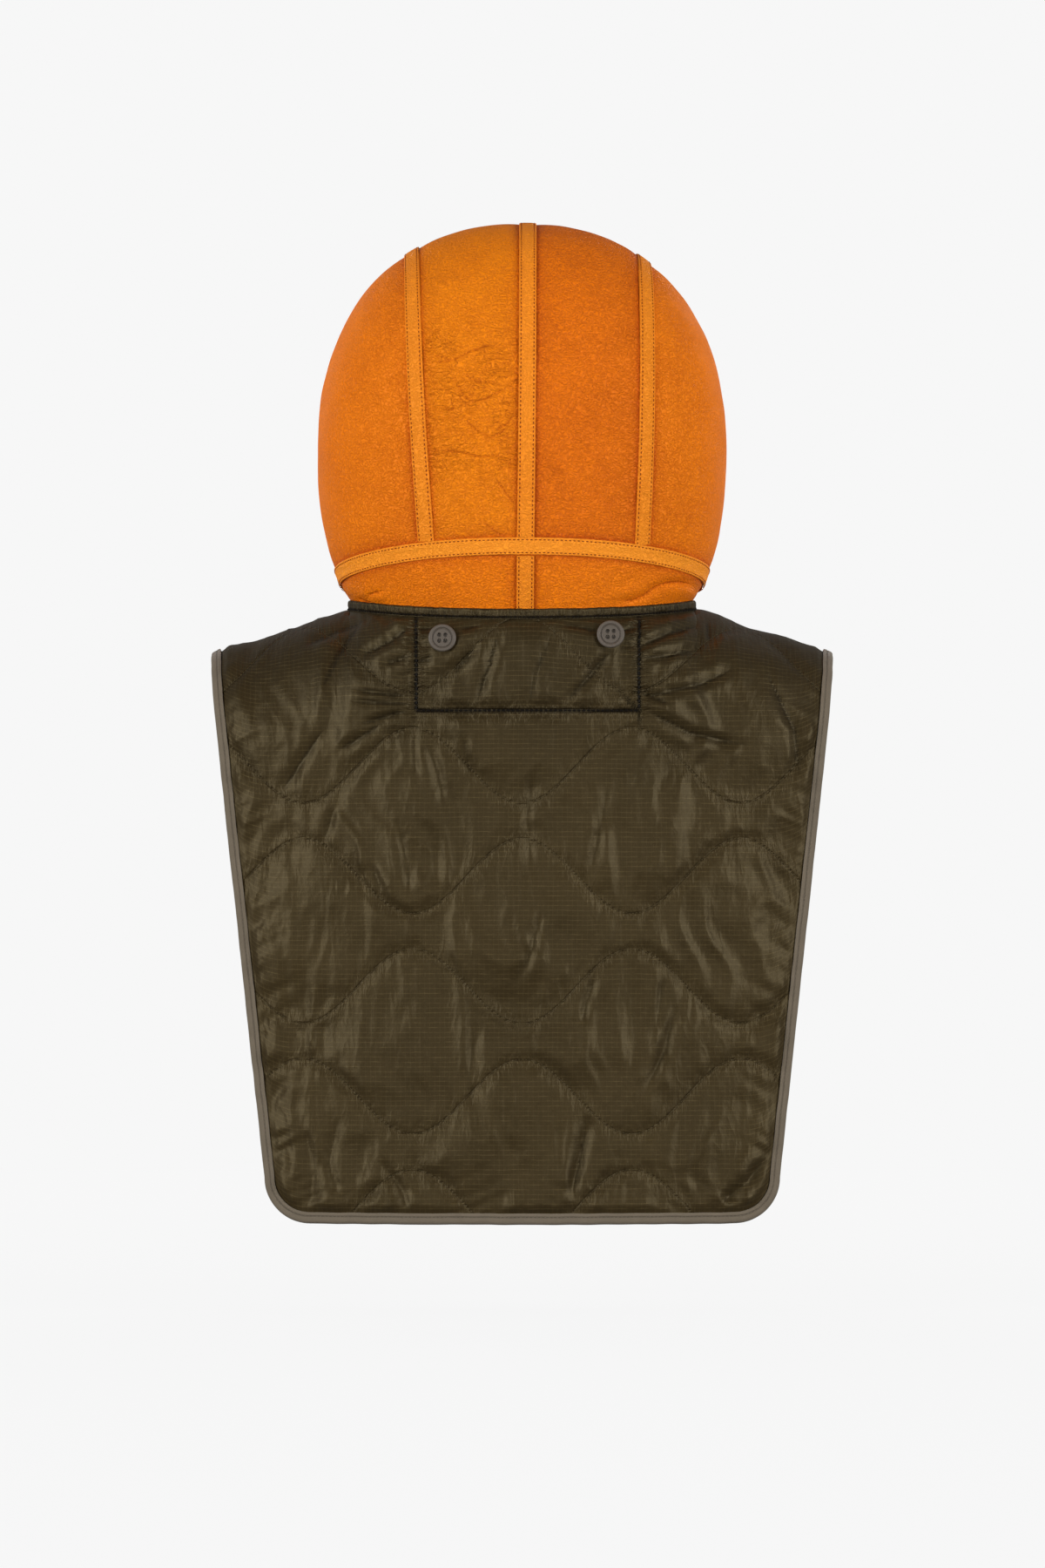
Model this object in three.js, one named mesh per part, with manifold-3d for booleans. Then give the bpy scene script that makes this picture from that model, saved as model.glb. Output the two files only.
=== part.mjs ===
// Shearling hood with a quilted bib, leather side out, in the form it has when worn.
//
// Millimetres, +Z up. The wearer faces +Y, and +X is the wearer's right. Heights in this file are measured from
// the neckline. At the end the whole hood is moved so that the inside of its crown is at the origin.

import * as THREE from "three";
import { mergeVertices } from "three/addons/utils/BufferGeometryUtils.js";
import Module from "manifold-3d";

const wasm = await Module();
wasm.setup();

const { degToRad, lerp } = THREE.MathUtils;

// The rounded form of the hood: |x/halfWidth|^power + |y/depth|^power + |height/rise|^power = 1 about its
// centre.
const FORM = { halfWidth: 148, back: 125, front: 150, rise: 166.5, fall: 182, centreZ: 112, power: 2.25 };

// Walls: leather skin, wool pile, the gaps between neighbours and behind the skin, and the tape over a seam.
const SKIN = 1.6;
const PILE = 8;
const GAP = 0.3;
const PILE_GAP = 0.6;
const TAPE = { width: 12.5, thick: 1.2, lift: 0.6 };

// Nape seam: its height at depth y is level + slope * y + curve * y^2.
const NAPE = { level: 21, slope: -0.0972, curve: 0.000656 };

// Face edge: its depth at height z is throat - lean * z - curve * z^2.
const FACE = { throat: 121, lean: 0.0114, curve: 0.00072 };

// Where each seam over the crown runs: its x at the nape, half way, and at the forehead.
const CROWN_SEAMS = {
  left: { nape: -68.2, middle: -78, forehead: -80 },
  centre: { nape: 2.5, middle: 4, forehead: 4 },
  right: { nape: 85.7, middle: 89.8, forehead: 84 },
};

// Steps of the panel grids. A crown seam has two stretches, up the back and over the top.
const STEPS = { crownWide: 4, backRise: 10, topRun: 10, throat: 4, pile: 2 };

// Neck hole: half width and depths of the leather at the neckline, how far the band above it bulges, and how
// far it goes on inside the bib.
const NECK = { halfWidth: 121.5, back: 103, front: 110, power: 2.5, bulge: 2, tuck: 12 };

// Neckline height: level at the shoulders, and its drops at the back and at the front.
const NECKLINE = { level: 5, backDrop: 7.6, frontDrop: 70 };

// Band of bib fabric round the neck, and its clearances from the panels below it.
const NECK_EDGE = { inset: 0.9, thick: 4.2, chamfer: 1.2, wall: 0.8, clearance: 0.9, saddle: 5.1 };

// Bib: depth of each panel at its middle, the bend across the body, the drop over which a panel turns down, the
// shoulder slope, and the outline seen from behind.
const BIB = {
  back: 112, front: 118, bend: 600, turn: 72,
  seat: 2.6, belowEdge: 7.2, shoulderSlope: 0.33,
  halfWidth: 226.5, widthAt: -32.5, taper: 0.1088, hem: -444, corner: 31,
};

// Padding: half thickness at a stitch line, what the filling adds, and how fast it swells beside a line.
const PADDING = { atStitch: 0.9, swell: 3.2, reach: 10, atEdge: 1.3, atNeck: 1.5 };

// Wave quilting: rows of stitches in opposite phase.
const QUILT = { wavelength: 156.7, swing: 26.8, pitch: 79, firstRow: -36.3, rows: 6 };

// Stitched box below the back neckline, which the buttons stand in.
const BOX = { left: -75.6, right: 83.5, bottom: -76 };

// Columns of a bib panel's grid: on each shoulder, round each side of the neck hole, and across the box.
const COLUMNS = { shoulder: 4, turn: 5, box: 8 };

// Binding: folded tape in section, outward from the panel's edge and across it, and the flat border it covers.
const BINDING = { cover: 6, over: 2, halfThick: 3.1, halfSlot: 2.2, border: 7, cornerPoints: 4 };

// Four-hole coat button, and where the two stand.
const BUTTON = {
  radius: 10, thick: 3.4, rim: 2.6, dish: 1, footRadius: 5, holeRadius: 1, holeSpacing: 3.8, tilt: 9, sides: 20,
};
const BUTTON_PLACES = {
  button_left: { x: -57.1, z: -25.1 },
  button_right: { x: 63.4, z: -22.5 },
};

const COLOURS = {
  sideLeather: 0xda711d,
  backLeather: 0xd76f1a,
  neckLeather: 0xd97119,
  tapeLeather: 0xef8c29,
  wool: 0xe9dcc0,
  quilt: 0x483d29,
  binding: 0x6a6152,
  button: 0x685f55,
};

const vec = (x, y, z) => new THREE.Vector3(x, y, z);
const CENTRE = vec(0, 0, FORM.centreZ);
const WALL = SKIN + PILE_GAP + PILE;

/** Where f changes sign between low and high. */
function zeroOf(f, low, high) {
  const startSign = Math.sign(f(low));
  let [near, far] = [low, high];
  for (let halving = 0; halving < 50; halving++) {
    const middle = (near + far) / 2;
    if (Math.sign(f(middle)) === startSign) near = middle;
    else far = middle;
  }
  return (near + far) / 2;
}

/** Whole-number steps from 0 to count, as shares of count. */
const shares = (count) => Array.from({ length: count + 1 }, (_, i) => i / count);

// The form

const formDepth = (y) => (y < 0 ? FORM.back : FORM.front);
const formHeight = (z) => (z < FORM.centreZ ? FORM.fall : FORM.rise);

/** 1 on the form, less inside it. */
function formLevel(p) {
  const height = Math.abs((p.z - FORM.centreZ) / formHeight(p.z));
  const across = Math.abs(p.x / FORM.halfWidth);
  const deep = Math.abs(p.y / formDepth(p.y));
  return across ** FORM.power + deep ** FORM.power + height ** FORM.power;
}

/** The point of the form on the ray from its centre through p. */
const onForm = (p) => p.clone().sub(CENTRE).multiplyScalar(formLevel(p) ** (-1 / FORM.power)).add(CENTRE);

function formNormal(p) {
  const part = (value, radius) => (Math.sign(value) * Math.abs(value / radius) ** (FORM.power - 1)) / radius;
  const z = p.z - FORM.centreZ;
  return vec(part(p.x, FORM.halfWidth), part(p.y, formDepth(p.y)), part(z, formHeight(p.z))).normalize();
}

// Seams of the hood

const napeHeight = (y) => NAPE.level + NAPE.slope * y + NAPE.curve * y * y;
const faceDepth = (z) => FACE.throat - FACE.lean * z - FACE.curve * z * z;

/** Point of the nape seam. The azimuth is 0 at the back and grows towards +X. */
function napePoint(azimuth) {
  const at = (r) => vec(r * Math.sin(azimuth), -r * Math.cos(azimuth), napeHeight(-r * Math.cos(azimuth)));
  return at(zeroOf((r) => formLevel(at(r)) - 1, 20, 200));
}

/** Azimuth at which the back of the nape seam passes x. */
const napeAzimuth = (x) => zeroOf((a) => napePoint(a).x - x, -Math.PI / 2, Math.PI / 2);

/** Azimuth at which the nape seam meets the face edge, on the right. */
const FACE_AZIMUTH = zeroOf((a) => napePoint(a).y - faceDepth(napePoint(a).z), Math.PI / 2, Math.PI);

/** Point of the form at x, seen from the side at an angle that is 0 at the back and 90 degrees at the crown. */
function crownPoint(x, angle) {
  const [back, up] = [Math.cos(angle), Math.sin(angle)];
  const left = 1 - Math.abs(x / FORM.halfWidth) ** FORM.power;
  const spent = Math.abs(back / formDepth(-back)) ** FORM.power
    + Math.abs(up / formHeight(FORM.centreZ + up)) ** FORM.power;
  const reach = (left / spent) ** (1 / FORM.power);
  return vec(x, -back * reach, FORM.centreZ + up * reach);
}

/** Where the crown at x meets the face edge. */
function facePoint(x) {
  const short = (angle) => crownPoint(x, angle).y - faceDepth(crownPoint(x, angle).z);
  return crownPoint(x, zeroOf(short, degToRad(80), degToRad(175)));
}

/** Curve through a seam's three named places, at share t of its length. */
function seamX(seam, t) {
  const { nape, middle, forehead } = seam;
  return nape * (2 * t - 1) * (t - 1) + middle * 4 * t * (1 - t) + forehead * t * (2 * t - 1);
}

/** Points of a seam from the nape over the crown to the face edge. */
function crownSeam(seam) {
  const angleOf = (p) => Math.atan2(p.z - FORM.centreZ, -p.y);
  const start = angleOf(napePoint(napeAzimuth(seam.nape)));
  const end = angleOf(facePoint(seam.forehead));
  return shares(STEPS.backRise + STEPS.topRun).map((t) => crownPoint(seamX(seam, t), lerp(start, end, t)));
}

const seamPoints = {
  left: crownSeam(CROWN_SEAMS.left),
  centre: crownSeam(CROWN_SEAMS.centre),
  right: crownSeam(CROWN_SEAMS.right),
};

/** Points of the nape seam between two azimuths. */
const napeRun = (from, to, count) => shares(count).map((t) => napePoint(lerp(from, to, t)));

// Grids of points, as lists of rows

/** Fills the inside of four edges that share their corners, and puts each point on the form. */
function panelGrid(bottom, top, left, right) {
  return left.map((leftPoint, row) => {
    const v = row / (left.length - 1);
    return bottom.map((bottomPoint, column) => {
      const u = column / (bottom.length - 1);
      const p = bottomPoint.clone().lerp(top[column], v).add(leftPoint.clone().lerp(right[row], u));
      const low = bottom[0].clone().lerp(bottom.at(-1), u);
      const high = top[0].clone().lerp(top.at(-1), u);
      return onForm(p.sub(low.lerp(high, v)));
    });
  });
}

/** Moves the edges of a grid inwards, so that neighbours keep their gap. */
function withdrawn(grid, distance) {
  const lastRow = grid.length - 1;
  return grid.map((row, r) => row.map((p, c) => {
    const moved = p.clone();
    const towards = (q) => moved.add(q.clone().sub(p).setLength(distance));
    if (c === 0) towards(row[1]);
    if (c === row.length - 1) towards(row[c - 1]);
    if (r === 0) towards(grid[1][c]);
    if (r === lastRow) towards(grid[r - 1][c]);
    return moved;
  }));
}

/** Every so many rows and columns of a grid, with the last ones. Each row keeps its number in the full grid. */
function coarser(grid, stride) {
  const kept = (list) => list.filter((_, i) => i % stride === 0 || i === list.length - 1);
  return { points: kept(grid).map(kept), rows: kept(grid.map((_, i) => i)) };
}

// Closed solids

/** Turns a closed mesh inside out where its faces point in. */
function facingOut(positions, triangles) {
  const [a, b, c] = [vec(), vec(), vec()];
  const corner = (target, i) => target.fromArray(positions, 3 * i);
  let volume = 0;
  for (let i = 0; i < triangles.length; i += 3) {
    corner(a, triangles[i]);
    corner(b, triangles[i + 1]);
    corner(c, triangles[i + 2]);
    volume += a.dot(b.cross(c));
  }
  const geometry = new THREE.BufferGeometry();
  geometry.setAttribute("position", new THREE.Float32BufferAttribute(positions, 3));
  geometry.setIndex(volume < 0 ? triangles.slice().reverse() : triangles);
  geometry.computeVertexNormals();
  return geometry;
}

/** Closed solid between two grids of the same size. */
function wallBetween(outer, inner) {
  const [rows, columns] = [outer.length, outer[0].length];
  const positions = [...outer.flat(), ...inner.flat()].flatMap((p) => p.toArray());
  const triangles = [];
  const at = (side, r, c) => side * rows * columns + r * columns + c;
  const quad = (a, b, c, d) => triangles.push(a, b, c, a, c, d);
  for (let r = 0; r < rows - 1; r++) {
    for (let c = 0; c < columns - 1; c++) {
      quad(at(0, r, c), at(0, r, c + 1), at(0, r + 1, c + 1), at(0, r + 1, c));
      quad(at(1, r, c), at(1, r + 1, c), at(1, r + 1, c + 1), at(1, r, c + 1));
    }
  }
  for (let r = 0; r < rows - 1; r++) {
    quad(at(0, r, 0), at(0, r + 1, 0), at(1, r + 1, 0), at(1, r, 0));
    quad(at(0, r + 1, columns - 1), at(0, r, columns - 1), at(1, r, columns - 1), at(1, r + 1, columns - 1));
  }
  for (let c = 0; c < columns - 1; c++) {
    quad(at(0, 0, c + 1), at(0, 0, c), at(1, 0, c), at(1, 0, c + 1));
    quad(at(0, rows - 1, c), at(0, rows - 1, c + 1), at(1, rows - 1, c + 1), at(1, rows - 1, c));
  }
  return facingOut(positions, triangles);
}

/** Closed solid through a list of sections, each the same closed loop of points. */
function sweptSolid(sections, profile, closed) {
  const size = profile.length;
  const positions = sections.flat().flatMap((p) => p.toArray());
  const triangles = [];
  const last = closed ? sections.length : sections.length - 1;
  for (let s = 0; s < last; s++) {
    const [here, next] = [s * size, ((s + 1) % sections.length) * size];
    for (let i = 0; i < size; i++) {
      const j = (i + 1) % size;
      triangles.push(here + i, here + j, next + j, here + i, next + j, next + i);
    }
  }
  if (!closed) {
    const end = (sections.length - 1) * size;
    const winding = THREE.ShapeUtils.area(profile) > 0 ? 1 : -1;
    for (const face of THREE.ShapeUtils.triangulateShape(profile.slice(), [])) {
      const turned = winding > 0 ? face : face.slice().reverse();
      triangles.push(...turned.slice().reverse());
      triangles.push(...turned.map((i) => end + i));
    }
  }
  return facingOut(positions, triangles);
}

const hood = new THREE.Group();

/** Adds a named piece to the hood, in a material of its own. */
function addPiece(name, geometry, colour, roughness) {
  const material = new THREE.MeshStandardMaterial({ color: colour, roughness, metalness: 0 });
  const piece = new THREE.Mesh(geometry, material);
  piece.name = name;
  hood.add(piece);
  return piece;
}

/** Grid moved along its normals. */
const offsetGrid = (grid, normalAt, distance) => grid.map((row, r) => row.map((p, c) => (
  p.clone().addScaledVector(normalAt(p, r), distance))));

/** Adds a panel's leather skin and, behind it, its wool pile on a coarser grid. */
function addPanel(name, place, grid, normalAt, colour) {
  const skin = withdrawn(grid, GAP / 2);
  addPiece(name, wallBetween(skin, offsetGrid(skin, normalAt, -SKIN)), colour, 0.6);
  const backing = coarser(grid, STEPS.pile);
  const coarseNormal = (p, row) => normalAt(p, backing.rows[row]);
  const pile = withdrawn(backing.points, GAP);
  const front = offsetGrid(pile, coarseNormal, PILE - WALL);
  addPiece(`pile_${place}`, wallBetween(front, offsetGrid(pile, coarseNormal, -WALL)), COLOURS.wool, 0.95);
}

// Hood panels

const nameOfSide = (side) => (side < 0 ? "left" : "right");

/** Points of the crown panel beside the centre seam; side is -1 for the left one. */
function crownGrid(side) {
  const seam = CROWN_SEAMS[nameOfSide(side)];
  const { centre } = CROWN_SEAMS;
  const bottom = napeRun(napeAzimuth(centre.nape), napeAzimuth(seam.nape), STEPS.crownWide);
  const top = shares(STEPS.crownWide).map((t) => facePoint(lerp(centre.forehead, seam.forehead, t)));
  return panelGrid(bottom, top, seamPoints.centre, seamPoints[nameOfSide(side)]);
}

/** Points of the side panel, with its rear edge and its top edge on the crown seam. */
function sideGrid(side) {
  const seam = CROWN_SEAMS[nameOfSide(side)];
  const points = seamPoints[nameOfSide(side)];
  const bottom = napeRun(napeAzimuth(seam.nape), side * FACE_AZIMUTH, STEPS.topRun);
  const rear = points.slice(0, STEPS.backRise + 1);
  const top = points.slice(STEPS.backRise);
  const front = shares(STEPS.backRise).map((t) => {
    const z = lerp(bottom.at(-1).z, top.at(-1).z, t);
    const y = faceDepth(z);
    const rest = 1 - formLevel(vec(0, y, z));
    return vec(side * FORM.halfWidth * rest ** (1 / FORM.power), y, z);
  });
  front[STEPS.backRise] = top.at(-1);
  return panelGrid(bottom, top, rear, front);
}

/** Height of the neckline at depth y. */
function necklineHeight(y) {
  const drop = y < 0 ? NECKLINE.backDrop * (y / NECK.back) ** 2 : NECKLINE.frontDrop * (y / NECK.front) ** 2;
  return NECKLINE.level - drop;
}

/** Point of the neckline at an azimuth, moved outwards in plan. */
function neckPoint(azimuth, out) {
  const [across, deep] = [Math.sin(azimuth), -Math.cos(azimuth)];
  const depth = (deep < 0 ? NECK.back : NECK.front) + out;
  const spent = Math.abs(across / (NECK.halfWidth + out)) ** NECK.power + Math.abs(deep / depth) ** NECK.power;
  const radius = spent ** (-1 / NECK.power);
  return vec(radius * across, radius * deep, necklineHeight(radius * deep));
}

/** Outward direction of the neckline in plan. */
function neckNormal(p) {
  const depth = p.y < 0 ? NECK.back : NECK.front;
  const part = (value, radius) => (Math.sign(value) * Math.abs(value / radius) ** (NECK.power - 1)) / radius;
  return vec(part(p.x, NECK.halfWidth), part(p.y, depth), 0).normalize();
}

/** Azimuths of the neck band's columns, from the centre seam round one side to the throat. */
function neckAzimuths(side) {
  const stops = [
    { azimuth: napeAzimuth(CROWN_SEAMS.centre.nape), steps: 0 },
    { azimuth: napeAzimuth(CROWN_SEAMS[nameOfSide(side)].nape), steps: STEPS.crownWide },
    { azimuth: side * FACE_AZIMUTH, steps: STEPS.topRun },
    { azimuth: side * Math.PI, steps: STEPS.throat },
  ];
  return stops.flatMap(({ azimuth, steps }, i) => (
    i === 0 ? [azimuth] : shares(steps).slice(1).map((t) => lerp(stops[i - 1].azimuth, azimuth, t))));
}

/** Points of the neck band: the nape seam, two rows down to the neckline, and the tuck inside the bib. */
function neckGrid(side) {
  const azimuths = neckAzimuths(side);
  const top = azimuths.map(napePoint);
  const line = azimuths.map((a) => neckPoint(a, 0));
  const middle = top.map((p, i) => p.clone().lerp(line[i], 0.5).addScaledVector(neckNormal(p), NECK.bulge));
  const tuck = line.map((p) => p.clone().setZ(p.z - NECK.tuck));
  return [top, middle, line, tuck];
}

/** Turns from the form's normal at the nape seam to the plan normal at the neckline. */
function neckBandNormal(p, row) {
  const share = Math.min(1, row / 2);
  return formNormal(p).lerp(neckNormal(p), share).normalize();
}

const neckGrids = {};
const sideGrids = {};
const crownGrids = {};
for (const side of [-1, 1]) {
  const name = nameOfSide(side);
  crownGrids[name] = crownGrid(side);
  sideGrids[name] = sideGrid(side);
  neckGrids[name] = neckGrid(side);
  addPanel(`crown_panel_${name}`, `crown_${name}`, crownGrids[name], formNormal, COLOURS.backLeather);
  addPanel(`side_panel_${name}`, `side_${name}`, sideGrids[name], formNormal, COLOURS.sideLeather);
  addPanel(`neck_band_${name}`, `neck_${name}`, neckGrids[name], neckBandNormal, COLOURS.neckLeather);
}

// Tapes over the seams

/** Cuts a length off the start of a run of tape points. */
function trimmed(run, length) {
  const step = run[0].seam.distanceTo(run[1].seam);
  const cut = (key) => run[0][key].clone().lerp(run[1][key], length / step);
  return [{ seam: cut("seam"), one: cut("one"), other: cut("other"), normal: run[0].normal }, ...run.slice(1)];
}

/** Adds a tape along a run of seam points, its edges half a width away towards the panels on either side. */
function addTape(name, run) {
  const half = TAPE.width / 2;
  const level = (height) => run.map(({ seam, one, other, normal }) => {
    const edge = (p) => seam.clone().add(p.clone().sub(seam).setLength(half));
    return [edge(one), seam, edge(other)].map((p) => p.clone().addScaledVector(normal, height));
  });
  addPiece(name, wallBetween(level(TAPE.lift + TAPE.thick), level(TAPE.lift)), COLOURS.tapeLeather, 0.55);
}

const columnOf = (grid, index) => grid.map((row) => row.at(index));
const zip = (seam, one, other, normalAt) => seam.map((p, i) => (
  { seam: p, one: one[i], other: other[i], normal: normalAt(p, i) }));

/** The line of points next to the crown seam inside a side panel. */
function besideSeam(grid) {
  const top = grid.length - 1;
  return [...grid.slice(0, top).map((row) => row[1]), grid[top - 1][1], ...grid[top - 1].slice(1)];
}

const beyondNape = TAPE.width / 2 + GAP;
const besideCentre = [columnOf(crownGrids.left, 1), columnOf(crownGrids.right, 1)];
addTape("tape_centre", trimmed(zip(seamPoints.centre, ...besideCentre, formNormal), beyondNape));
for (const name of ["left", "right"]) {
  const beside = [columnOf(crownGrids[name], -2), besideSeam(sideGrids[name])];
  addTape(`tape_${name}`, trimmed(zip(seamPoints[name], ...beside, formNormal), beyondNape));
}

/** Nape seam of one side as a tape run, from the centre to the face edge. */
function napeTapeRun(name) {
  const above = [...crownGrids[name][1], ...sideGrids[name][1].slice(1)];
  const [seam, below] = neckGrids[name];
  return zip(seam.slice(0, above.length), above, below.slice(0, above.length), formNormal);
}

addTape("tape_nape", [...napeTapeRun("left").reverse(), ...napeTapeRun("right").slice(1)]);

const neckSeam = columnOf(neckGrids.left, 0);
const neckRun = zip(neckSeam, columnOf(neckGrids.left, 1), columnOf(neckGrids.right, 1), neckBandNormal);
addTape("tape_neck", trimmed(neckRun.slice(0, 3), beyondNape));

// Bib

/** Half width of the bib panel at a height, with its rounded lower corners. */
function bibEdge(z) {
  const straight = (height) => BIB.halfWidth + BIB.taper * (height - BIB.widthAt) - BINDING.over;
  const cornerZ = BIB.hem + BINDING.over + BIB.corner;
  if (z >= cornerZ) return straight(z);
  return straight(cornerZ) - BIB.corner + Math.sqrt(Math.max(0, BIB.corner ** 2 - (z - cornerZ) ** 2));
}

const CORNER_X = bibEdge(BIB.hem + BINDING.over + BIB.corner) - BIB.corner;
const HEM_END_X = CORNER_X + BIB.corner * Math.SQRT1_2;

/** Height of the bib panel's lower edge. */
function hemHeight(x) {
  const past = Math.min(BIB.corner, Math.max(0, Math.abs(x) - CORNER_X));
  return BIB.hem + BINDING.over + BIB.corner - Math.sqrt(BIB.corner ** 2 - past ** 2);
}

/** One bib panel as a surface: facing is -1 for the back and 1 for the front. */
function bibPanel(facing) {
  const middleDepth = facing < 0 ? BIB.back : BIB.front;
  const neckDepth = (facing < 0 ? NECK.back : NECK.front) + BIB.seat;
  const neckHalf = NECK.halfWidth + BIB.seat;
  const neckline = (x) => {
    const share = Math.min(1, Math.abs(x) / neckHalf);
    return neckDepth * (1 - share ** NECK.power) ** (1 / NECK.power);
  };
  const depthAt = (x) => middleDepth - x ** 2 / (2 * BIB.bend);
  const topEdge = (x) => {
    const shoulder = BIB.shoulderSlope * Math.max(0, Math.abs(x) - neckHalf);
    return necklineHeight(facing * neckline(x)) - BIB.belowEdge - shoulder;
  };
  const turnAt = (x, depth) => 1 - Math.sqrt(Math.max(0, 1 - (depth / depthAt(x)) ** 2));
  const turned = (x, z) => turnAt(x, neckline(x)) + (topEdge(x) - z) / BIB.turn;
  const heightAt = (x, y) => topEdge(x) - BIB.turn * (turnAt(x, y) - turnAt(x, neckline(x)));
  const pointAt = (x, z) => {
    const rest = Math.max(0, 1 - Math.max(0, turned(x, z)));
    return vec(x, facing * (depthAt(x) * Math.sqrt(1 - rest ** 2) + GAP / 2), z);
  };
  // The surface is where (y / depth)^2 + (1 - turned)^2 = 1, so its normal is that sum's gradient.
  const level = (x, y, z) => (y / depthAt(x)) ** 2 + Math.max(0, 1 - turned(x, z)) ** 2;
  const normalAt = (p) => {
    const [step, y] = [0.5, p.y - facing * (GAP / 2)];
    const slope = (dx, dy, dz) => level(p.x + dx, y + dy, p.z + dz) - level(p.x - dx, y - dy, p.z - dz);
    return vec(slope(step, 0, 0), slope(0, step, 0), slope(0, 0, step)).normalize();
  };
  return { facing, neckline, topEdge, pointAt, heightAt, normalAt, neckHalf };
}

/** Height of a row of wave stitches at x. */
function stitchHeight(row, x) {
  const phase = row % 2 === 0 ? 1 : -1;
  const wave = Math.cos((2 * Math.PI * x) / QUILT.wavelength);
  return QUILT.firstRow - row * QUILT.pitch + phase * QUILT.swing * wave;
}

/** Distance from a place on a panel to the nearest stitches. */
function stitchDistance(x, z, facing) {
  const steepest = (2 * Math.PI * QUILT.swing) / QUILT.wavelength;
  const slope = steepest * Math.sin((2 * Math.PI * x) / QUILT.wavelength);
  const waves = shares(QUILT.rows - 1).map((t) => Math.abs(z - stitchHeight(t * (QUILT.rows - 1), x)));
  const toWave = Math.min(...waves) / Math.hypot(1, slope);
  if (facing > 0 || x < BOX.left - PADDING.reach || x > BOX.right + PADDING.reach) return toWave;
  if (z < BOX.bottom) return Math.min(toWave, BOX.bottom - z);
  return Math.min(toWave, Math.abs(x - BOX.left), Math.abs(x - BOX.right), z - BOX.bottom);
}

/** Half thickness of the padding. */
function halfThickness(x, z, facing) {
  const swollen = 1 - Math.exp(-stitchDistance(x, z, facing) / PADDING.reach);
  return PADDING.atStitch + PADDING.swell * swollen;
}

// Rows of a bib panel's grid: the guide each stretch runs down to, and the shares of the way its rows stand at.
const ROWS = [
  { to: "box", at: [0.08, 0.3, 0.62, 1] },
  { to: "wave1", at: [0.5, 1] },
  { to: "wave2", at: [0.33, 0.67, 1] },
  { to: "wave3", at: [0.33, 0.67, 1] },
  { to: "wave4", at: [0.33, 0.67, 1] },
  { to: "border", at: [0.33, 0.67, 1] },
  { to: "hem", at: [1] },
];

// Share of the way from the top edge to the first wave at which the guide runs beside the box.
const BESIDE_BOX = 0.6;

/** Heights along a panel that its grid rows follow. */
function bibGuides(panel) {
  const wave = (row) => (x) => stitchHeight(row, x);
  const inBox = (x) => panel.facing < 0 && x > BOX.left - 1 && x < BOX.right + 1;
  return {
    top: panel.topEdge,
    box: (x) => (inBox(x) ? BOX.bottom : lerp(panel.topEdge(x), stitchHeight(1, x), BESIDE_BOX)),
    wave1: wave(1), wave2: wave(2), wave3: wave(3), wave4: wave(4),
    border: (x) => hemHeight(x) + BINDING.border,
    hem: hemHeight,
  };
}

/** Columns at the top edge, closer together at the ends of the neck hole. */
function topColumns(panel) {
  const round = (angle) => panel.neckHalf * Math.sin(angle) ** (2 / NECK.power);
  const angleAt = (x) => Math.asin((Math.abs(x) / panel.neckHalf) ** (NECK.power / 2));
  const outer = BIB.halfWidth - BINDING.over - BINDING.border;
  const shoulder = shares(COLUMNS.shoulder).map((t) => lerp(outer, panel.neckHalf, t));
  const turnTo = (x) => shares(COLUMNS.turn).slice(1).map((t) => round(lerp(Math.PI / 2, angleAt(x), t)));
  const leftHalf = [...shoulder, ...turnTo(BOX.left)].map((x) => -x);
  const rightHalf = [...shoulder, ...turnTo(BOX.right)].reverse();
  const between = shares(COLUMNS.box).slice(1, -1).map((t) => lerp(BOX.left, BOX.right, t));
  return [-BIB.halfWidth + BINDING.over, ...leftHalf, ...between, ...rightHalf, BIB.halfWidth - BINDING.over];
}

/** Columns below the box, evenly spread, as shares of the half width. */
function lowColumns() {
  const reach = bibEdge(BOX.bottom) - BINDING.border;
  const run = (from, to, count) => shares(count).map((t) => lerp(from, to, t));
  const marks = [BOX.left / reach, BOX.right / reach];
  const beside = COLUMNS.shoulder + COLUMNS.turn;
  const inBox = run(...marks, COLUMNS.box).slice(1, -1);
  return [...run(-1, marks[0], beside), ...inBox, ...run(marks[1], 1, beside)];
}

/** Points and half thicknesses of a bib panel, row by row. */
function bibGrid(panel) {
  const guides = bibGuides(panel);
  const tops = topColumns(panel);
  const lows = lowColumns();
  const levels = [{ height: guides.top, spread: 0 }];
  let from = "top";
  for (const { to, at } of ROWS) {
    const [above, below, first] = [guides[from], guides[to], from === "top"];
    for (const share of at) {
      const height = (x) => lerp(above(x), below(x), share);
      levels.push({ height, spread: first ? share : 1, hem: to === "hem" });
    }
    from = to;
  }
  return levels.map(({ height, spread, hem }) => tops.map((topX, i) => {
    const end = i === 0 || i === tops.length - 1;
    let x = topX;
    for (let pass = 0; pass < 8; pass++) {
      const half = hem ? HEM_END_X : bibEdge(height(x));
      const lowX = end ? Math.sign(topX) * half : lows[i - 1] * (half - BINDING.border);
      x = lerp(topX, lowX, end ? 1 : spread);
    }
    const z = height(x);
    const besideEnd = end || i === 1 || i === tops.length - 2;
    if (besideEnd || hem || z < hemHeight(x) + BINDING.border + GAP) return { x, z, half: PADDING.atEdge };
    return { x, z, half: spread === 0 ? PADDING.atNeck : halfThickness(x, z, panel.facing) };
  }));
}

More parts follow.
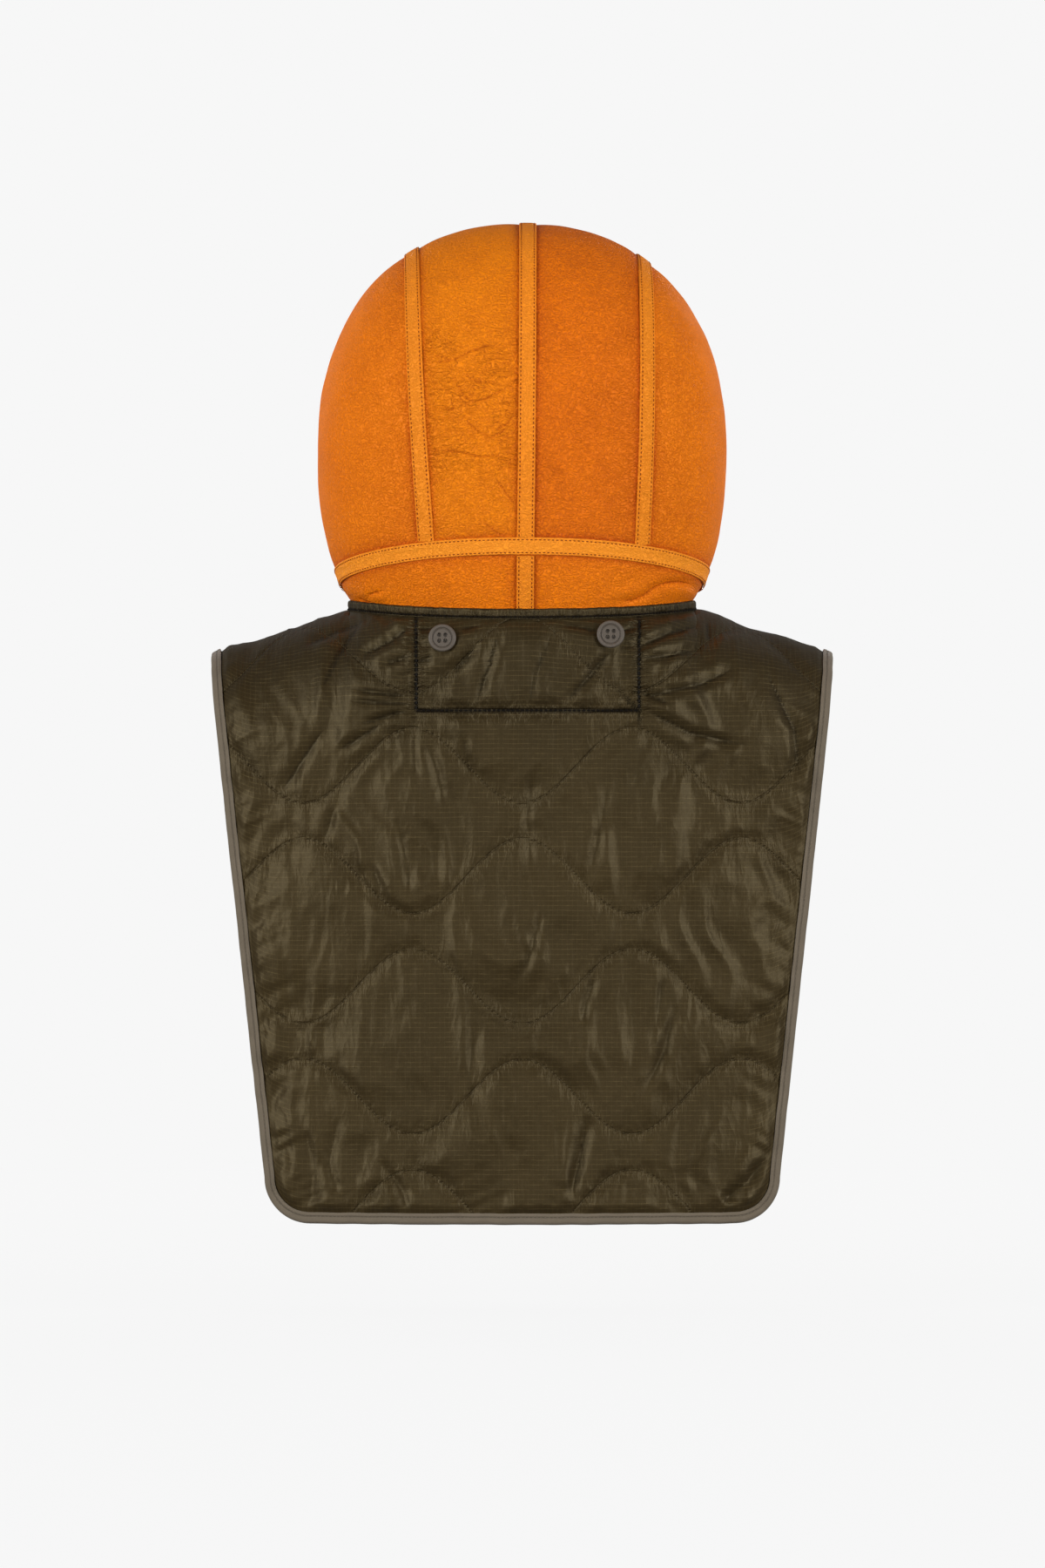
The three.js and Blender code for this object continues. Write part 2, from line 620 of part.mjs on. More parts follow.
/** Section of the folded binding: outward from the panel's edge, and across it. */
const BINDING_PROFILE = [
  [-BINDING.cover, BINDING.halfThick],
  [BINDING.over / 2, BINDING.halfThick],
  [BINDING.over, 0],
  [BINDING.over / 2, -BINDING.halfThick],
  [-BINDING.cover, -BINDING.halfThick],
  [-BINDING.cover, -BINDING.halfSlot],
  [GAP, -BINDING.halfSlot],
  [GAP, BINDING.halfSlot],
  [-BINDING.cover, BINDING.halfSlot],
].map(([out, across]) => new THREE.Vector2(out, across));

/** Adds the binding along a panel's sides and hem. */
function addBinding(name, panel, points) {
  const hem = points.at(-1).filter((_, i, row) => {
    const inward = Math.min(i, row.length - 1 - i);
    return inward > 0 && (inward < BINDING.cornerPoints || i % 2 === 0);
  });
  const path = [...columnOf(points, 0), ...hem, ...columnOf(points, -1).reverse()];
  const sections = path.map((p, i) => {
    const along = vec(0, panel.facing, 0);
    if (i === path.length - 1) along.negate();
    if (i > 0 && i < path.length - 1) {
      const [before, after] = [path[i - 1], path[i + 1]];
      along.copy(p.clone().sub(before).normalize().add(after.clone().sub(p).normalize()));
    }
    const normal = panel.normalAt(p);
    const outward = along.cross(normal).normalize().multiplyScalar(-panel.facing);
    const across = normal.clone().addScaledVector(outward, -normal.dot(outward)).normalize();
    return BINDING_PROFILE.map(({ x: out, y: up }) => (
      p.clone().addScaledVector(outward, out).addScaledVector(across, up)));
  });
  addPiece(name, sweptSolid(sections, BINDING_PROFILE, false), COLOURS.binding, 0.8);
}

/** Adds a padded bib panel and its binding. */
function addBib(place, facing) {
  const panel = bibPanel(facing);
  const grid = bibGrid(panel);
  const face = (sign) => grid.map((row) => row.map(({ x, z, half }) => {
    const p = panel.pointAt(x, z);
    return p.addScaledVector(panel.normalAt(p), sign * half);
  }));
  const piece = addPiece(`bib_${place}`, wallBetween(face(1), face(-1)), COLOURS.quilt, 0.45);
  addBinding(`binding_${place}`, panel, grid.map((row) => row.map(({ x, z }) => panel.pointAt(x, z))));
  return piece;
}

const bibBack = addBib("back", -1);
addBib("front", 1);

/** Adds the band of bib fabric round the neck. It has a section above each column of the panels below it. */
function addNeckEdge() {
  const outside = NECK_EDGE.inset + NECK_EDGE.thick;
  const profile = [
    [NECK_EDGE.inset, 0],
    [outside, 1],
    [outside, 2],
    [outside - NECK_EDGE.chamfer, 3],
    [NECK_EDGE.inset, 3],
  ].map(([out, level]) => new THREE.Vector2(out, level));
  const halfRing = (facing) => {
    const panel = bibPanel(facing);
    return topColumns(panel).filter((x) => Math.abs(x) < panel.neckHalf + 1e-6).map((x) => {
      const seat = panel.pointAt(x, panel.topEdge(x));
      const azimuth = Math.atan2(x, -facing * panel.neckline(x));
      const outer = neckPoint(azimuth, outside);
      const bottom = seat.z + Math.abs(panel.normalAt(seat).z) * PADDING.atNeck + NECK_EDGE.clearance;
      const top = seat.z + BIB.belowEdge;
      const outerBottom = Math.max(bottom, panel.heightAt(outer.x, outer.y) + NECK_EDGE.saddle);
      const shoulder = Math.max(top - NECK_EDGE.chamfer, outerBottom + NECK_EDGE.wall);
      const heights = [bottom, outerBottom, shoulder, Math.max(top, shoulder)];
      return profile.map(({ x: out, y: level }) => neckPoint(azimuth, out).setZ(heights[level]));
    });
  };
  const sections = [...halfRing(-1), ...halfRing(1).reverse().slice(1, -1)];
  addPiece("neck_edge", sweptSolid(sections, profile, true), COLOURS.quilt, 0.5);
}

addNeckEdge();

// Buttons

/** Geometry with merged points only, as a solid that can be cut. */
function solidOf(geometry) {
  geometry.deleteAttribute("normal");
  geometry.deleteAttribute("uv");
  const merged = mergeVertices(geometry, 1e-4);
  return new wasm.Manifold(new wasm.Mesh({
    numProp: 3,
    vertProperties: new Float32Array(merged.attributes.position.array),
    triVerts: new Uint32Array(merged.index.array),
  }));
}

/** Four-hole button with a raised rim. It stands on z = 0, with its face up. */
function buttonGeometry() {
  const { radius, thick, rim, dish, footRadius, sides } = BUTTON;
  const inner = radius - rim;
  const profile = [
    [0, 0], [footRadius, 0], [radius - 0.8, 1], [radius, 1.9], [radius - 0.6, thick],
    [inner + 0.6, thick], [inner, thick - dish], [0, thick - dish],
  ].map(([r, z]) => new THREE.Vector2(r, z));
  let button = solidOf(new THREE.LatheGeometry(profile, sides).rotateX(Math.PI / 2));
  const fromCentre = BUTTON.holeSpacing / 2;
  for (const [across, along] of [[-1, -1], [1, -1], [-1, 1], [1, 1]]) {
    const hole = new THREE.CylinderGeometry(BUTTON.holeRadius, BUTTON.holeRadius, 3 * thick, 8);
    hole.rotateX(Math.PI / 2).translate(across * fromCentre, along * fromCentre, 0);
    button = button.subtract(solidOf(hole));
  }
  const { vertProperties, triVerts } = button.getMesh();
  return facingOut(Array.from(vertProperties), Array.from(triVerts));
}

// How far off the panel the rays start that find the fabric under a button.
const RAY_START = 50;

/** Sews a button onto the back panel, its foot just clear of the highest fabric under it. */
function addButton(name, { x, z }) {
  const piece = addPiece(name, buttonGeometry(), COLOURS.button, 0.45);
  const facing = vec(0, -Math.cos(degToRad(BUTTON.tilt)), Math.sin(degToRad(BUTTON.tilt)));
  const right = vec(1, 0, 0);
  const up = facing.clone().cross(right);
  piece.setRotationFromMatrix(new THREE.Matrix4().makeBasis(right, up, facing));
  const far = bibPanel(-1).pointAt(x, z).addScaledVector(facing, RAY_START);
  const caster = new THREE.Raycaster();
  const ring = [0, 0.5, 1].flatMap((share) => shares(12).map((turn) => (
    far.clone()
      .addScaledVector(right, share * BUTTON.footRadius * Math.cos(2 * Math.PI * turn))
      .addScaledVector(up, share * BUTTON.footRadius * Math.sin(2 * Math.PI * turn)))));
  const distances = ring.map((origin) => {
    caster.set(origin, facing.clone().negate());
    return caster.intersectObject(bibBack)[0].distance;
  });
  piece.position.copy(far).addScaledVector(facing, GAP - Math.min(...distances));
}

for (const [name, place] of Object.entries(BUTTON_PLACES)) addButton(name, place);

hood.position.z = -(FORM.centreZ + FORM.rise - WALL);

export default hood;
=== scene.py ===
"""Dresses the shearling hood: leather, wool, taped seams, the quilted bib, its binding and its buttons.

Lengths are metres. The shapes are worked out in heights from the neckline, as a pattern cutter measures
them, and each piece is lowered into the frame's own heights as it is made. The wearer faces +Y, so the
photograph looks along +Y at the back of the hood.
"""

import logging
import math
from collections.abc import Callable
from dataclasses import dataclass, field
from enum import Enum

import bpy
import numpy as np
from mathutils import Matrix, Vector


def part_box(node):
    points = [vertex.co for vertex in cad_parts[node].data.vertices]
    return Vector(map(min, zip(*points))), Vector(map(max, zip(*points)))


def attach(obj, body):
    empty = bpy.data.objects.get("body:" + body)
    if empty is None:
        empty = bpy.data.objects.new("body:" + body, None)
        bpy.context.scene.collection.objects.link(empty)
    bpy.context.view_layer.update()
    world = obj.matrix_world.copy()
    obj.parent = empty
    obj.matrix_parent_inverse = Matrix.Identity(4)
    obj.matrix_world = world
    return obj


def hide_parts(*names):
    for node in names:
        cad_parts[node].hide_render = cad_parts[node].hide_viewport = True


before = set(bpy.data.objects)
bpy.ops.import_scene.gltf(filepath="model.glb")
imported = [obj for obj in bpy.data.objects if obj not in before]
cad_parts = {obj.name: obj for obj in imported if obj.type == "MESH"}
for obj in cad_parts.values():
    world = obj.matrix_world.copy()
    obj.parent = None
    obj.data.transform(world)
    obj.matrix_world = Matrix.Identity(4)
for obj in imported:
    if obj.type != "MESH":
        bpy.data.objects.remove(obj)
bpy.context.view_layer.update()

Array = np.ndarray
Faces = list[tuple[int, ...]]
Colour = tuple[int, int, int]
# Rows of stitches: for each, its points and the cloth's outward directions there.
Rows = list[tuple[Array, Array]]
log = logging.getLogger("hood")

MM = 0.001
BODY = "root"
# Height of the neckline in the frame, whose origin is the inside of the crown.
NECKLINE_Z = -0.2683
# How far inside the bib's edge the binding is stitched.
BINDING_ROW = 3.4 * MM


class Side(Enum):
    """Side of the hood, with the sign of X there."""

    LEFT = -1
    RIGHT = 1

    @property
    def label(self) -> str:
        """The side's word in the names of pieces."""
        return self.name.lower()


class Facing(Enum):
    """Bib panel, with the sign of Y that it faces."""

    BACK = -1
    FRONT = 1

    @property
    def label(self) -> str:
        """The panel's word in the names of pieces."""
        return self.name.lower()


# Arrays of points


def unit(vectors: Array) -> Array:
    """Vectors scaled to length 1."""
    return vectors / np.maximum(np.linalg.norm(vectors, axis=-1, keepdims=True), 1e-12)


def mix(start: Array | float, end: Array | float, share: Array | float) -> Array:
    """Value at a share of the way from start to end."""
    return start + (np.asarray(end) - start) * share


def smooth_step(low: float, high: float, value: Array) -> Array:
    """0 below low, 1 above high, with level ends between."""
    share = np.clip((value - low) / (high - low), 0, 1)
    return share * share * (3 - 2 * share)


def joined(*parts: Array | float) -> Array:
    """Points from their coordinates, which are spread to one shape first."""
    return np.stack(np.broadcast_arrays(*parts), axis=-1)


def bell(value: Array, width: float) -> Array:
    """1 where the value is 0, falling off as a bell curve of that width."""
    return np.exp(-((value / width) ** 2))


def axis_slope(value: Array, radius: Array | float, power: float) -> Array:
    """Slope of |value / radius|^power along its axis, but for the factor that all axes share."""
    return np.sign(value) * np.abs(value / radius) ** (power - 1) / radius


def zero_of(function: Callable[[Array], Array], low: Array | float, high: Array | float) -> Array:
    """Where a function changes sign, found for each element by halving the range between low and high.

    Args:
        function: works on whole arrays.
        low: start of the range, one value or an array.
        high: end of the range.

    Returns:
        The places of the sign changes.
    """
    near, far = (np.array(a, float) for a in np.broadcast_arrays(low, high))
    start = np.sign(function(near))
    for _ in range(40):
        middle = (near + far) / 2
        same = np.sign(function(middle)) == start
        near = np.where(same, middle, near)
        far = np.where(same, far, middle)
    return (near + far) / 2


def lattice(cells: Array, seed: int) -> Array:
    """Repeatable random numbers from 0 to 1 for whole-number places, from a product-and-shift hash."""
    c = cells.astype(np.int64)
    value = c[..., 0] * 374761393 + c[..., 1] * 668265263 + c[..., 2] * 2147483647 + seed * 1274126177
    value = (value ^ (value >> 13)) * 1274126177 & 0x7FFFFFFF
    value = (value ^ (value >> 16)) & 0xFFFFFF
    return value / 0xFFFFFF


def noise(points: Array, size: float | tuple[float, float, float], seed: int = 0) -> Array:
    """Smooth noise from -1 to 1: random values at the corners of cells of a given size, eased between them.

    Args:
        points: places, with three coordinates each.
        size: cell size, one for all axes or one for each.
        seed: picks another pattern.

    Returns:
        One value a point.
    """
    scaled = points / np.asarray(size)
    base = np.floor(scaled)
    t = scaled - base
    t = t * t * (3 - 2 * t)
    total = np.zeros(points.shape[:-1])
    for corner in np.ndindex(2, 2, 2):
        weight = np.prod(np.where(corner, t, 1 - t), axis=-1)
        total += weight * lattice(base + corner, seed)
    return 2 * total - 1


def ridges(points: Array, size: float | tuple[float, float, float], seed: int) -> Array:
    """Ridges from -1 to 1: 1 less twice the size of a noise, so they are sharp where the noise is 0."""
    return 1 - 2 * np.abs(noise(points, size, seed))


def cell_distance(points: Array, size: float, seed: int = 0) -> Array:
    """Distance to the nearest of one random point in each cell, in cell sizes."""
    scaled = points / size
    base = np.floor(scaled)
    nearest = np.full(points.shape[:-1], np.inf)
    for step in np.ndindex(3, 3, 3):
        cell = base + np.array(step) - 1
        spot = np.stack([lattice(cell, seed + k) for k in range(3)], axis=-1) + cell
        nearest = np.minimum(nearest, np.linalg.norm(scaled - spot, axis=-1))
    return nearest


def run_length(grid: Array, axis: int) -> Array:
    """Distance walked along the rows or columns of a grid of points, from their start."""
    steps = np.linalg.norm(np.diff(grid, axis=axis), axis=-1)
    pad = [(0, 0), (0, 0)]
    pad[axis] = (1, 0)
    return np.cumsum(np.pad(steps, pad), axis=axis)


def grid_normals(grid: Array, outward: Array) -> Array:
    """Normals of a grid of points: the cross product of its two directions, turned towards outward."""
    normals = unit(np.cross(np.gradient(grid, axis=1), np.gradient(grid, axis=0)))
    return normals * np.sign(np.sum(normals * outward, axis=-1, keepdims=True) + 1e-9)


def line_distance(plane: Array, line: Array) -> tuple[Array, Array]:
    """Distance from points of a plane to a bent line, and how far along it the nearest place is.

    Args:
        plane: points with two coordinates.
        line: the line's corners in order.

    Returns:
        The distance to the nearest segment, and the share of the line's corners passed there, from 0 to 1.
    """
    best = np.full(plane.shape[:-1], np.inf)
    where = np.zeros(plane.shape[:-1])
    for i, (a, b) in enumerate(zip(line[:-1], line[1:])):
        step = b - a
        t = np.clip(((plane - a) @ step) / (step @ step), 0, 1)
        distance = np.linalg.norm(plane - a - t[..., None] * step, axis=-1)
        where = np.where(distance < best, (i + t) / (len(line) - 1), where)
        best = np.minimum(best, distance)
    return best, where


def blended(grid: Array, row: Array, column: Array) -> Array:
    """Values between a grid's points, at fractional rows and columns, blended from the four corners."""
    low_row = np.clip(np.floor(row).astype(int), 0, grid.shape[0] - 2)
    low_column = np.clip(np.floor(column).astype(int), 0, grid.shape[1] - 2)
    down, right = (row - low_row)[:, None], (column - low_column)[:, None]
    upper = mix(grid[low_row, low_column], grid[low_row, low_column + 1], right)
    lower = mix(grid[low_row + 1, low_column], grid[low_row + 1, low_column + 1], right)
    return mix(upper, lower, down)


def resampled(grid: Array, rows: int, columns: int) -> Array:
    """A grid of values at another number of rows and columns, blended linearly along each axis."""

    def weights(count: int, size: int) -> Array:
        """Rows of blend weights from size samples to count."""
        place = np.linspace(0, size - 1, count)[:, None]
        return np.maximum(0, 1 - np.abs(place - np.arange(size)[None, :]))

    down = np.tensordot(weights(rows, grid.shape[0]), grid, axes=(1, 0))
    return np.moveaxis(np.tensordot(weights(columns, grid.shape[1]), down, axes=(1, 1)), 0, 1)


# Closed meshes


def quads(index: Array) -> Array:
    """Quads between the neighbours of a grid of vertex numbers."""
    return np.stack([index[:-1, :-1], index[:-1, 1:], index[1:, 1:], index[1:, :-1]], axis=-1).reshape(-1, 4)


def thinned(values: Array, keep: int) -> Array:
    """Every so many rows and columns of a grid."""
    return values[::keep, ::keep]


def snapped(count: float, keep: int) -> int:
    """The nearest number of grid lines that thins evenly: a multiple of keep, and one."""
    return max(1, round(count / keep)) * keep + 1


def shell(outer: Array, inner: Array, keep: int) -> tuple[Array, Faces]:
    """Closed wall between a fine grid and a thinned one, with a strip of many-sided faces round their edge.

    Args:
        outer: grid of the outer face.
        inner: grid of the inner face, of the same size, of which only every so many lines are used.
        keep: how many outer cells one inner cell covers each way.

    Returns:
        Vertices and faces.
    """
    coarse = thinned(inner, keep)

    def rim_of(index: Array) -> Array:
        """The vertex numbers round a grid's edge, in order."""
        return np.concatenate([index[0, :-1], index[:-1, -1], index[-1, :0:-1], index[:0:-1, 0]])

    index = np.arange(outer.shape[0] * outer.shape[1]).reshape(outer.shape[:2])
    under = index.size + np.arange(coarse.shape[0] * coarse.shape[1]).reshape(coarse.shape[:2])
    rim, low_rim = rim_of(index), rim_of(under)
    places = (np.arange(len(low_rim))[:, None] * keep + np.arange(keep + 1)[None, ::-1]) % len(rim)
    sides = np.concatenate([rim[places], low_rim[:, None], np.roll(low_rim, -1)[:, None]], axis=1)
    faces = quads(index).tolist() + quads(under)[:, ::-1].tolist() + sides.tolist()
    return np.concatenate([outer.reshape(-1, 3), coarse.reshape(-1, 3)]), faces


def both_faces(values: Array, keep: int) -> Array:
    """Values of a shell's vertices: all of a grid, and then its thinned lines."""
    rest = values.shape[2:]
    return np.concatenate([values.reshape(-1, *rest), thinned(values, keep).reshape(-1, *rest)])


def tube(sections: Array, closed: bool) -> tuple[Array, Faces]:
    """Solid through a list of closed sections: quads between neighbours, and flat ends on an open path.

    Args:
        sections: path places by section points by 3.
        closed: joins the last section to the first.

    Returns:
        Vertices and faces.
    """
    count, size = sections.shape[:2]
    index = np.arange(count * size).reshape(count, size)
    around = np.concatenate([index, index[:, :1]], axis=1)
    if closed:
        around = np.concatenate([around, around[:1]])
    faces = quads(around).tolist()
    if not closed:
        faces += [index[0].tolist(), index[-1, ::-1].tolist()]
    return sections.reshape(-1, 3), faces


def facing_out(vertices: Array, faces: Faces) -> Faces:
    """The faces, turned round where the volume they enclose comes out negative."""
    volume = 0.0
    sizes = np.array([len(face) for face in faces])
    for size in np.unique(sizes):
        corners = vertices[np.array([face for face in faces if len(face) == size])]
        for k in range(1, size - 1):
            volume += np.sum(corners[:, 0] * np.cross(corners[:, k], corners[:, k + 1]))
    return [tuple(face[::-1]) for face in faces] if volume < 0 else faces


def make_piece(
    name: str,
    mesh_parts: tuple[Array, Faces],
    material: bpy.types.Material,
    replaces: tuple[str, ...] = (),
    attributes: dict[str, Array] | None = None,
    uv: Array | None = None,
) -> bpy.types.Object:
    """Makes a smooth mesh object of the frame's body.

    Args:
        name: the piece's name.
        mesh_parts: vertices in heights from the neckline, and faces.
        material: its finish.
        replaces: CAD nodes that it stands for.
        attributes: named values, one a vertex.
        uv: fabric coordinates, one pair a vertex.

    Returns:
        The object.
    """
    vertices, faces = mesh_parts
    faces = facing_out(vertices, faces)
    mesh = bpy.data.meshes.new(name)
    mesh.from_pydata(vertices + np.array([0, 0, NECKLINE_Z]), [], faces)
    mesh.polygons.foreach_set("use_smooth", np.ones(len(mesh.polygons), bool))
    for label, values in (attributes or {}).items():
        layer = mesh.attributes.new(label, "FLOAT", "POINT")
        layer.data.foreach_set("value", np.ascontiguousarray(values, np.float32).ravel())
    if uv is not None:
        corner = np.zeros(len(mesh.loops), np.int32)
        mesh.loops.foreach_get("vertex_index", corner)
        layer = mesh.uv_layers.new(name="fabric")
        layer.data.foreach_set("uv", np.ascontiguousarray(uv[corner], np.float32).ravel())
    mesh.materials.append(material)
    mesh.set_sharp_from_angle(angle=math.radians(50))
    piece = bpy.data.objects.new(name, mesh)
    bpy.context.scene.collection.objects.link(piece)
    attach(piece, BODY)
    if replaces:
        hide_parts(*replaces)
    log.info("%s: %d faces", name, len(faces))
    return piece


def grid_area(grid: Array) -> float:
    """Area of a grid of points, half the cross product of each cell's diagonals, summed."""
    cross = np.cross(grid[1:, 1:] - grid[:-1, :-1], grid[1:, :-1] - grid[:-1, 1:])
    return float(np.linalg.norm(cross, axis=-1).sum() / 2)


def cut_from(grid: Array) -> None:
    """Works out the lengths walked across and along a piece's grid, and its area; nothing further is done
    with them.

    Args:
        grid: its face, as a grid of points.
    """
    across = float(run_length(grid, 1)[:, -1].max())
    along = float(run_length(grid, 0)[-1].max())
    area = min(grid_area(grid), across * along)


# Finishes


class Socket:
    """A shader output that takes part in Python arithmetic, by Math nodes."""

    def __init__(self, graph: "Graph", output: bpy.types.NodeSocket) -> None:
        """Wraps one output of a node of the graph."""
        self.graph = graph
        self.output = output

    def _math(self, operation: str, first: object, second: object) -> "Socket":
        """A Math node on two values."""
        return self.graph.node("ShaderNodeMath", {"operation": operation}, {0: first, 1: second})

    def __add__(self, other: object) -> "Socket":
        """Sum."""
        return self._math("ADD", self, other)

    def __radd__(self, other: object) -> "Socket":
        """Sum with a number on the left."""
        return self._math("ADD", other, self)

    def __sub__(self, other: object) -> "Socket":
        """Difference."""
        return self._math("SUBTRACT", self, other)

    def __rsub__(self, other: object) -> "Socket":
        """Difference from a number."""
        return self._math("SUBTRACT", other, self)

    def __mul__(self, other: object) -> "Socket":
        """Product."""
        return self._math("MULTIPLY", self, other)

    def __rmul__(self, other: object) -> "Socket":
        """Product with a number on the left."""
        return self._math("MULTIPLY", other, self)

    def __truediv__(self, other: object) -> "Socket":
        """Quotient."""
        return self._math("DIVIDE", self, other)

    def __pow__(self, other: object) -> "Socket":
        """Power."""
        return self._math("POWER", self, other)

    def clamp(self) -> "Socket":
        """The value held between 0 and 1."""
        return self.graph.node("ShaderNodeClamp", {}, {"Value": self})

    def bell(self, width: float) -> "Socket":
        """1 where the value is 0, falling off as a bell curve of that width."""
        ratio = self / width
        return self._math("EXPONENT", ratio * ratio * -1, 0)

    def wave(self) -> "Socket":
        """Sine of the value."""
        return self._math("SINE", self, 0)


class Graph:
    """The node tree of one material, or of the surroundings."""

    def __init__(self, owner: bpy.types.Material | bpy.types.World) -> None:
        """Empties the owner's node tree."""
        owner.use_nodes = True
        self.tree = owner.node_tree
        self.tree.nodes.clear()

    def node(self, kind: str, settings: dict, values: dict, output: int | str = 0) -> Socket:
        """Adds any node.

        Args:
            kind: the node's type.
            settings: its own properties, set first.
            values: numbers, colours or Sockets for its inputs, by name or place.
            output: which output is returned.

        Returns:
            That output.
        """
        made = self.tree.nodes.new(kind)
        for key, value in settings.items():
            setattr(made, key, value)
        for key, value in values.items():
            if isinstance(value, Socket):
                self.tree.links.new(value.output, made.inputs[key])
            else:
                made.inputs[key].default_value = value
        return Socket(self, made.outputs[output])

    def place(self) -> Socket:
        """Object coordinates, in metres."""
        return self.node("ShaderNodeTexCoord", {}, {}, "Object")

    def stretched(self, source: Socket, scale: tuple[float, float, float]) -> Socket:
        """Coordinates multiplied axis by axis."""
        return self.node("ShaderNodeVectorMath", {"operation": "MULTIPLY"}, {0: source, 1: scale})

    def attribute(self, name: str) -> Socket:
        """A value stored at the mesh's vertices."""
        return self.node("ShaderNodeAttribute", {"attribute_name": name}, {}, "Fac")

    def noise(self, source: Socket, size: float, detail: float = 2, rough: float = 0.5) -> Socket:
        """Noise from 0 to 1 with features of a size in the coordinates' unit."""
        values = {"Vector": source, "Scale": 1 / size, "Detail": detail, "Roughness": rough}
        return self.node("ShaderNodeTexNoise", {}, values, "Fac")

    def cells(self, source: Socket, size: float) -> Socket:
        """Distance to the nearest of random points that stand about a size apart."""
        return self.node("ShaderNodeTexVoronoi", {}, {"Vector": source, "Scale": 1 / size}, "Distance")

    def toned(self, share: Socket, first: Colour | Socket, second: Colour) -> Socket:
        """Colour mixed from two, which are given as screen values or as another mix."""
        start = first if isinstance(first, Socket) else linear(*first)
        values = {0: share, 6: start, 7: linear(*second)}
        return self.node("ShaderNodeMix", {"data_type": "RGBA"}, values, 2)

    def ridges(self, source: Socket, size: float, detail: float) -> Socket:
        """Sharp ridges between soft hollows: 1 less twice the distance of a noise from its middle."""
        return 1 - ((self.noise(source, size, detail, 0.55) - 0.5) ** 2 * 8) ** 0.5

    def swirled(self, source: Socket, size: float, reach: float) -> Socket:
        """Coordinates pushed about by a noise of a size, as far as a reach."""
        values = {"Vector": source, "Scale": 1 / size, "Detail": 1.0}
        push = self.node("ShaderNodeTexNoise", {}, values, "Color")
        values = {0: push, 1: (reach, reach, reach), 2: source}
        return self.node("ShaderNodeVectorMath", {"operation": "MULTIPLY_ADD"}, values)

    def joined(self, x: Socket, y: Socket) -> Socket:
        """A vector from two values."""
        return self.node("ShaderNodeCombineXYZ", {}, {"X": x, "Y": y})

    def split(self, source: Socket) -> tuple[Socket, Socket]:
        """The X and Y parts of a vector."""
        first = self.node("ShaderNodeSeparateXYZ", {}, {"Vector": source}, "X")
        return first, Socket(self, first.output.node.outputs["Y"])

    def bump(self, height: Socket, depth: float) -> Socket:
        """Normal bent by a height of the given depth in metres."""
        values = {"Height": height, "Distance": depth, "Strength": 1.0}
        return self.node("ShaderNodeBump", {}, values, "Normal")

    def end(self, shader: Socket, kind: str = "ShaderNodeOutputMaterial") -> None:
        """Ends the graph in a shader."""
        last = self.tree.nodes.new(kind)
        self.tree.links.new(shader.output, last.inputs["Surface"])


@dataclass(frozen=True)
class Finish:
    """A named material, whose Principled inputs each kind of finish works out."""

    name: str

    def build(self) -> bpy.types.Material:
        """Makes the material."""
        material = bpy.data.materials.new(self.name)
        g = Graph(material)
        g.end(g.node("ShaderNodeBsdfPrincipled", {}, self.inputs(g), "BSDF"))
        return material

    def inputs(self, g: Graph) -> dict:
        """The shader's inputs, by name."""
        raise NotImplementedError


def grey(value: float) -> tuple[float, float, float, float]:
    """Linear grey of a value."""
    return (value, value, value, 1.0)


def linear(red: int, green: int, blue: int) -> tuple[float, float, float, float]:
    """Linear colour from screen values of 0 to 255."""

    def channel(value: int) -> float:
        """One channel of the screen's curve, undone."""
        share = value / 255
        return share / 12.92 if share <= 0.04045 else ((share + 0.055) / 1.055) ** 2.4

    return (channel(red), channel(green), channel(blue), 1.0)


@dataclass(frozen=True)
class Leather(Finish):
    """Smooth aniline leather: fine pebbles, wrinkles and drawn creases, with painted shade in the creases,
    the wrinkles and the pebbles' hollows, and beside the seams.
    """

    colour: Colour
    # deep: the darker colour, which both the leather's own blotches and the painted shade mix towards.
    deep: Colour
    roughness: float = 0.5
    pebble: float = 1.5 * MM
    wrinkles: float = 1.0
    specular: float = 0.11
    depth: float = 0.8 * MM

    def inputs(self, g: Graph) -> dict:
        """The shader's inputs. They read the attributes crease, wrinkle and seam."""
        place = g.place()
        blotches = g.noise(place, 35 * MM, 3, 0.6)
        speckle = g.noise(place, 2.5 * MM, 2, 0.6)
        away = g.attribute("crease")
        wrinkled = g.attribute("wrinkle")
        seam = g.attribute("seam")
        line = away.bell(0.75 * MM)
        lips = away.bell(2.2 * MM)
        cloud = (g.noise(place, 18 * MM, 2, 0.5) * 2.6 - 0.8).clamp()
        wide = g.swirled(g.stretched(place, (1.0, 1.0, 2.4)), 15 * MM, 9 * MM)
        netted = g.ridges(wide, 8.5 * MM, 2) ** 18
        fine = g.swirled(g.stretched(place, (1.0, 1.0, 1.4)), 5 * MM, 3 * MM)
        fans = g.ridges(fine, 2.7 * MM, 2) ** 4
        waves = g.noise(g.stretched(place, (1.0, 1.0, 2.6)), 8 * MM, 3, 0.6)
        pebbles = g.cells(place, self.pebble)
        shown = (cloud * wrinkled * 1.6).clamp() * self.wrinkles
        # Painted shade where the relief sinks: in the drawn creases and stitch grooves (line), the netted
        # wrinkles, the fine fans, the pebbles' hollows, and beside the seams. The blotches and speckle are
        # the leather's own tone.
        dark = (
            line * 0.62
            + netted * shown * 0.5
            + fans * 0.4
            + (0.4 - pebbles) * 0.45
            + seam.bell(2.4 * MM) * 0.5
            + seam.bell(8 * MM) * 0.25
            + (blotches - 0.5) * 0.6
            + (speckle - 0.5) * 0.5
            + 0.06
        ).clamp()
        height = (
            pebbles * 0.36
            - fans * (0.6 + shown * 0.1)
            + waves * (0.15 + shown * 0.45)
            - netted * shown * 0.7
            - line
            + lips * 0.45
        )
        return {
            "Base Color": g.toned(dark, self.colour, self.deep),
            "Roughness": self.roughness + (speckle - 0.5) * 0.12 + line * 0.1,
            "Specular IOR Level": self.specular,
            "Normal": g.bump(height, self.depth),
        }


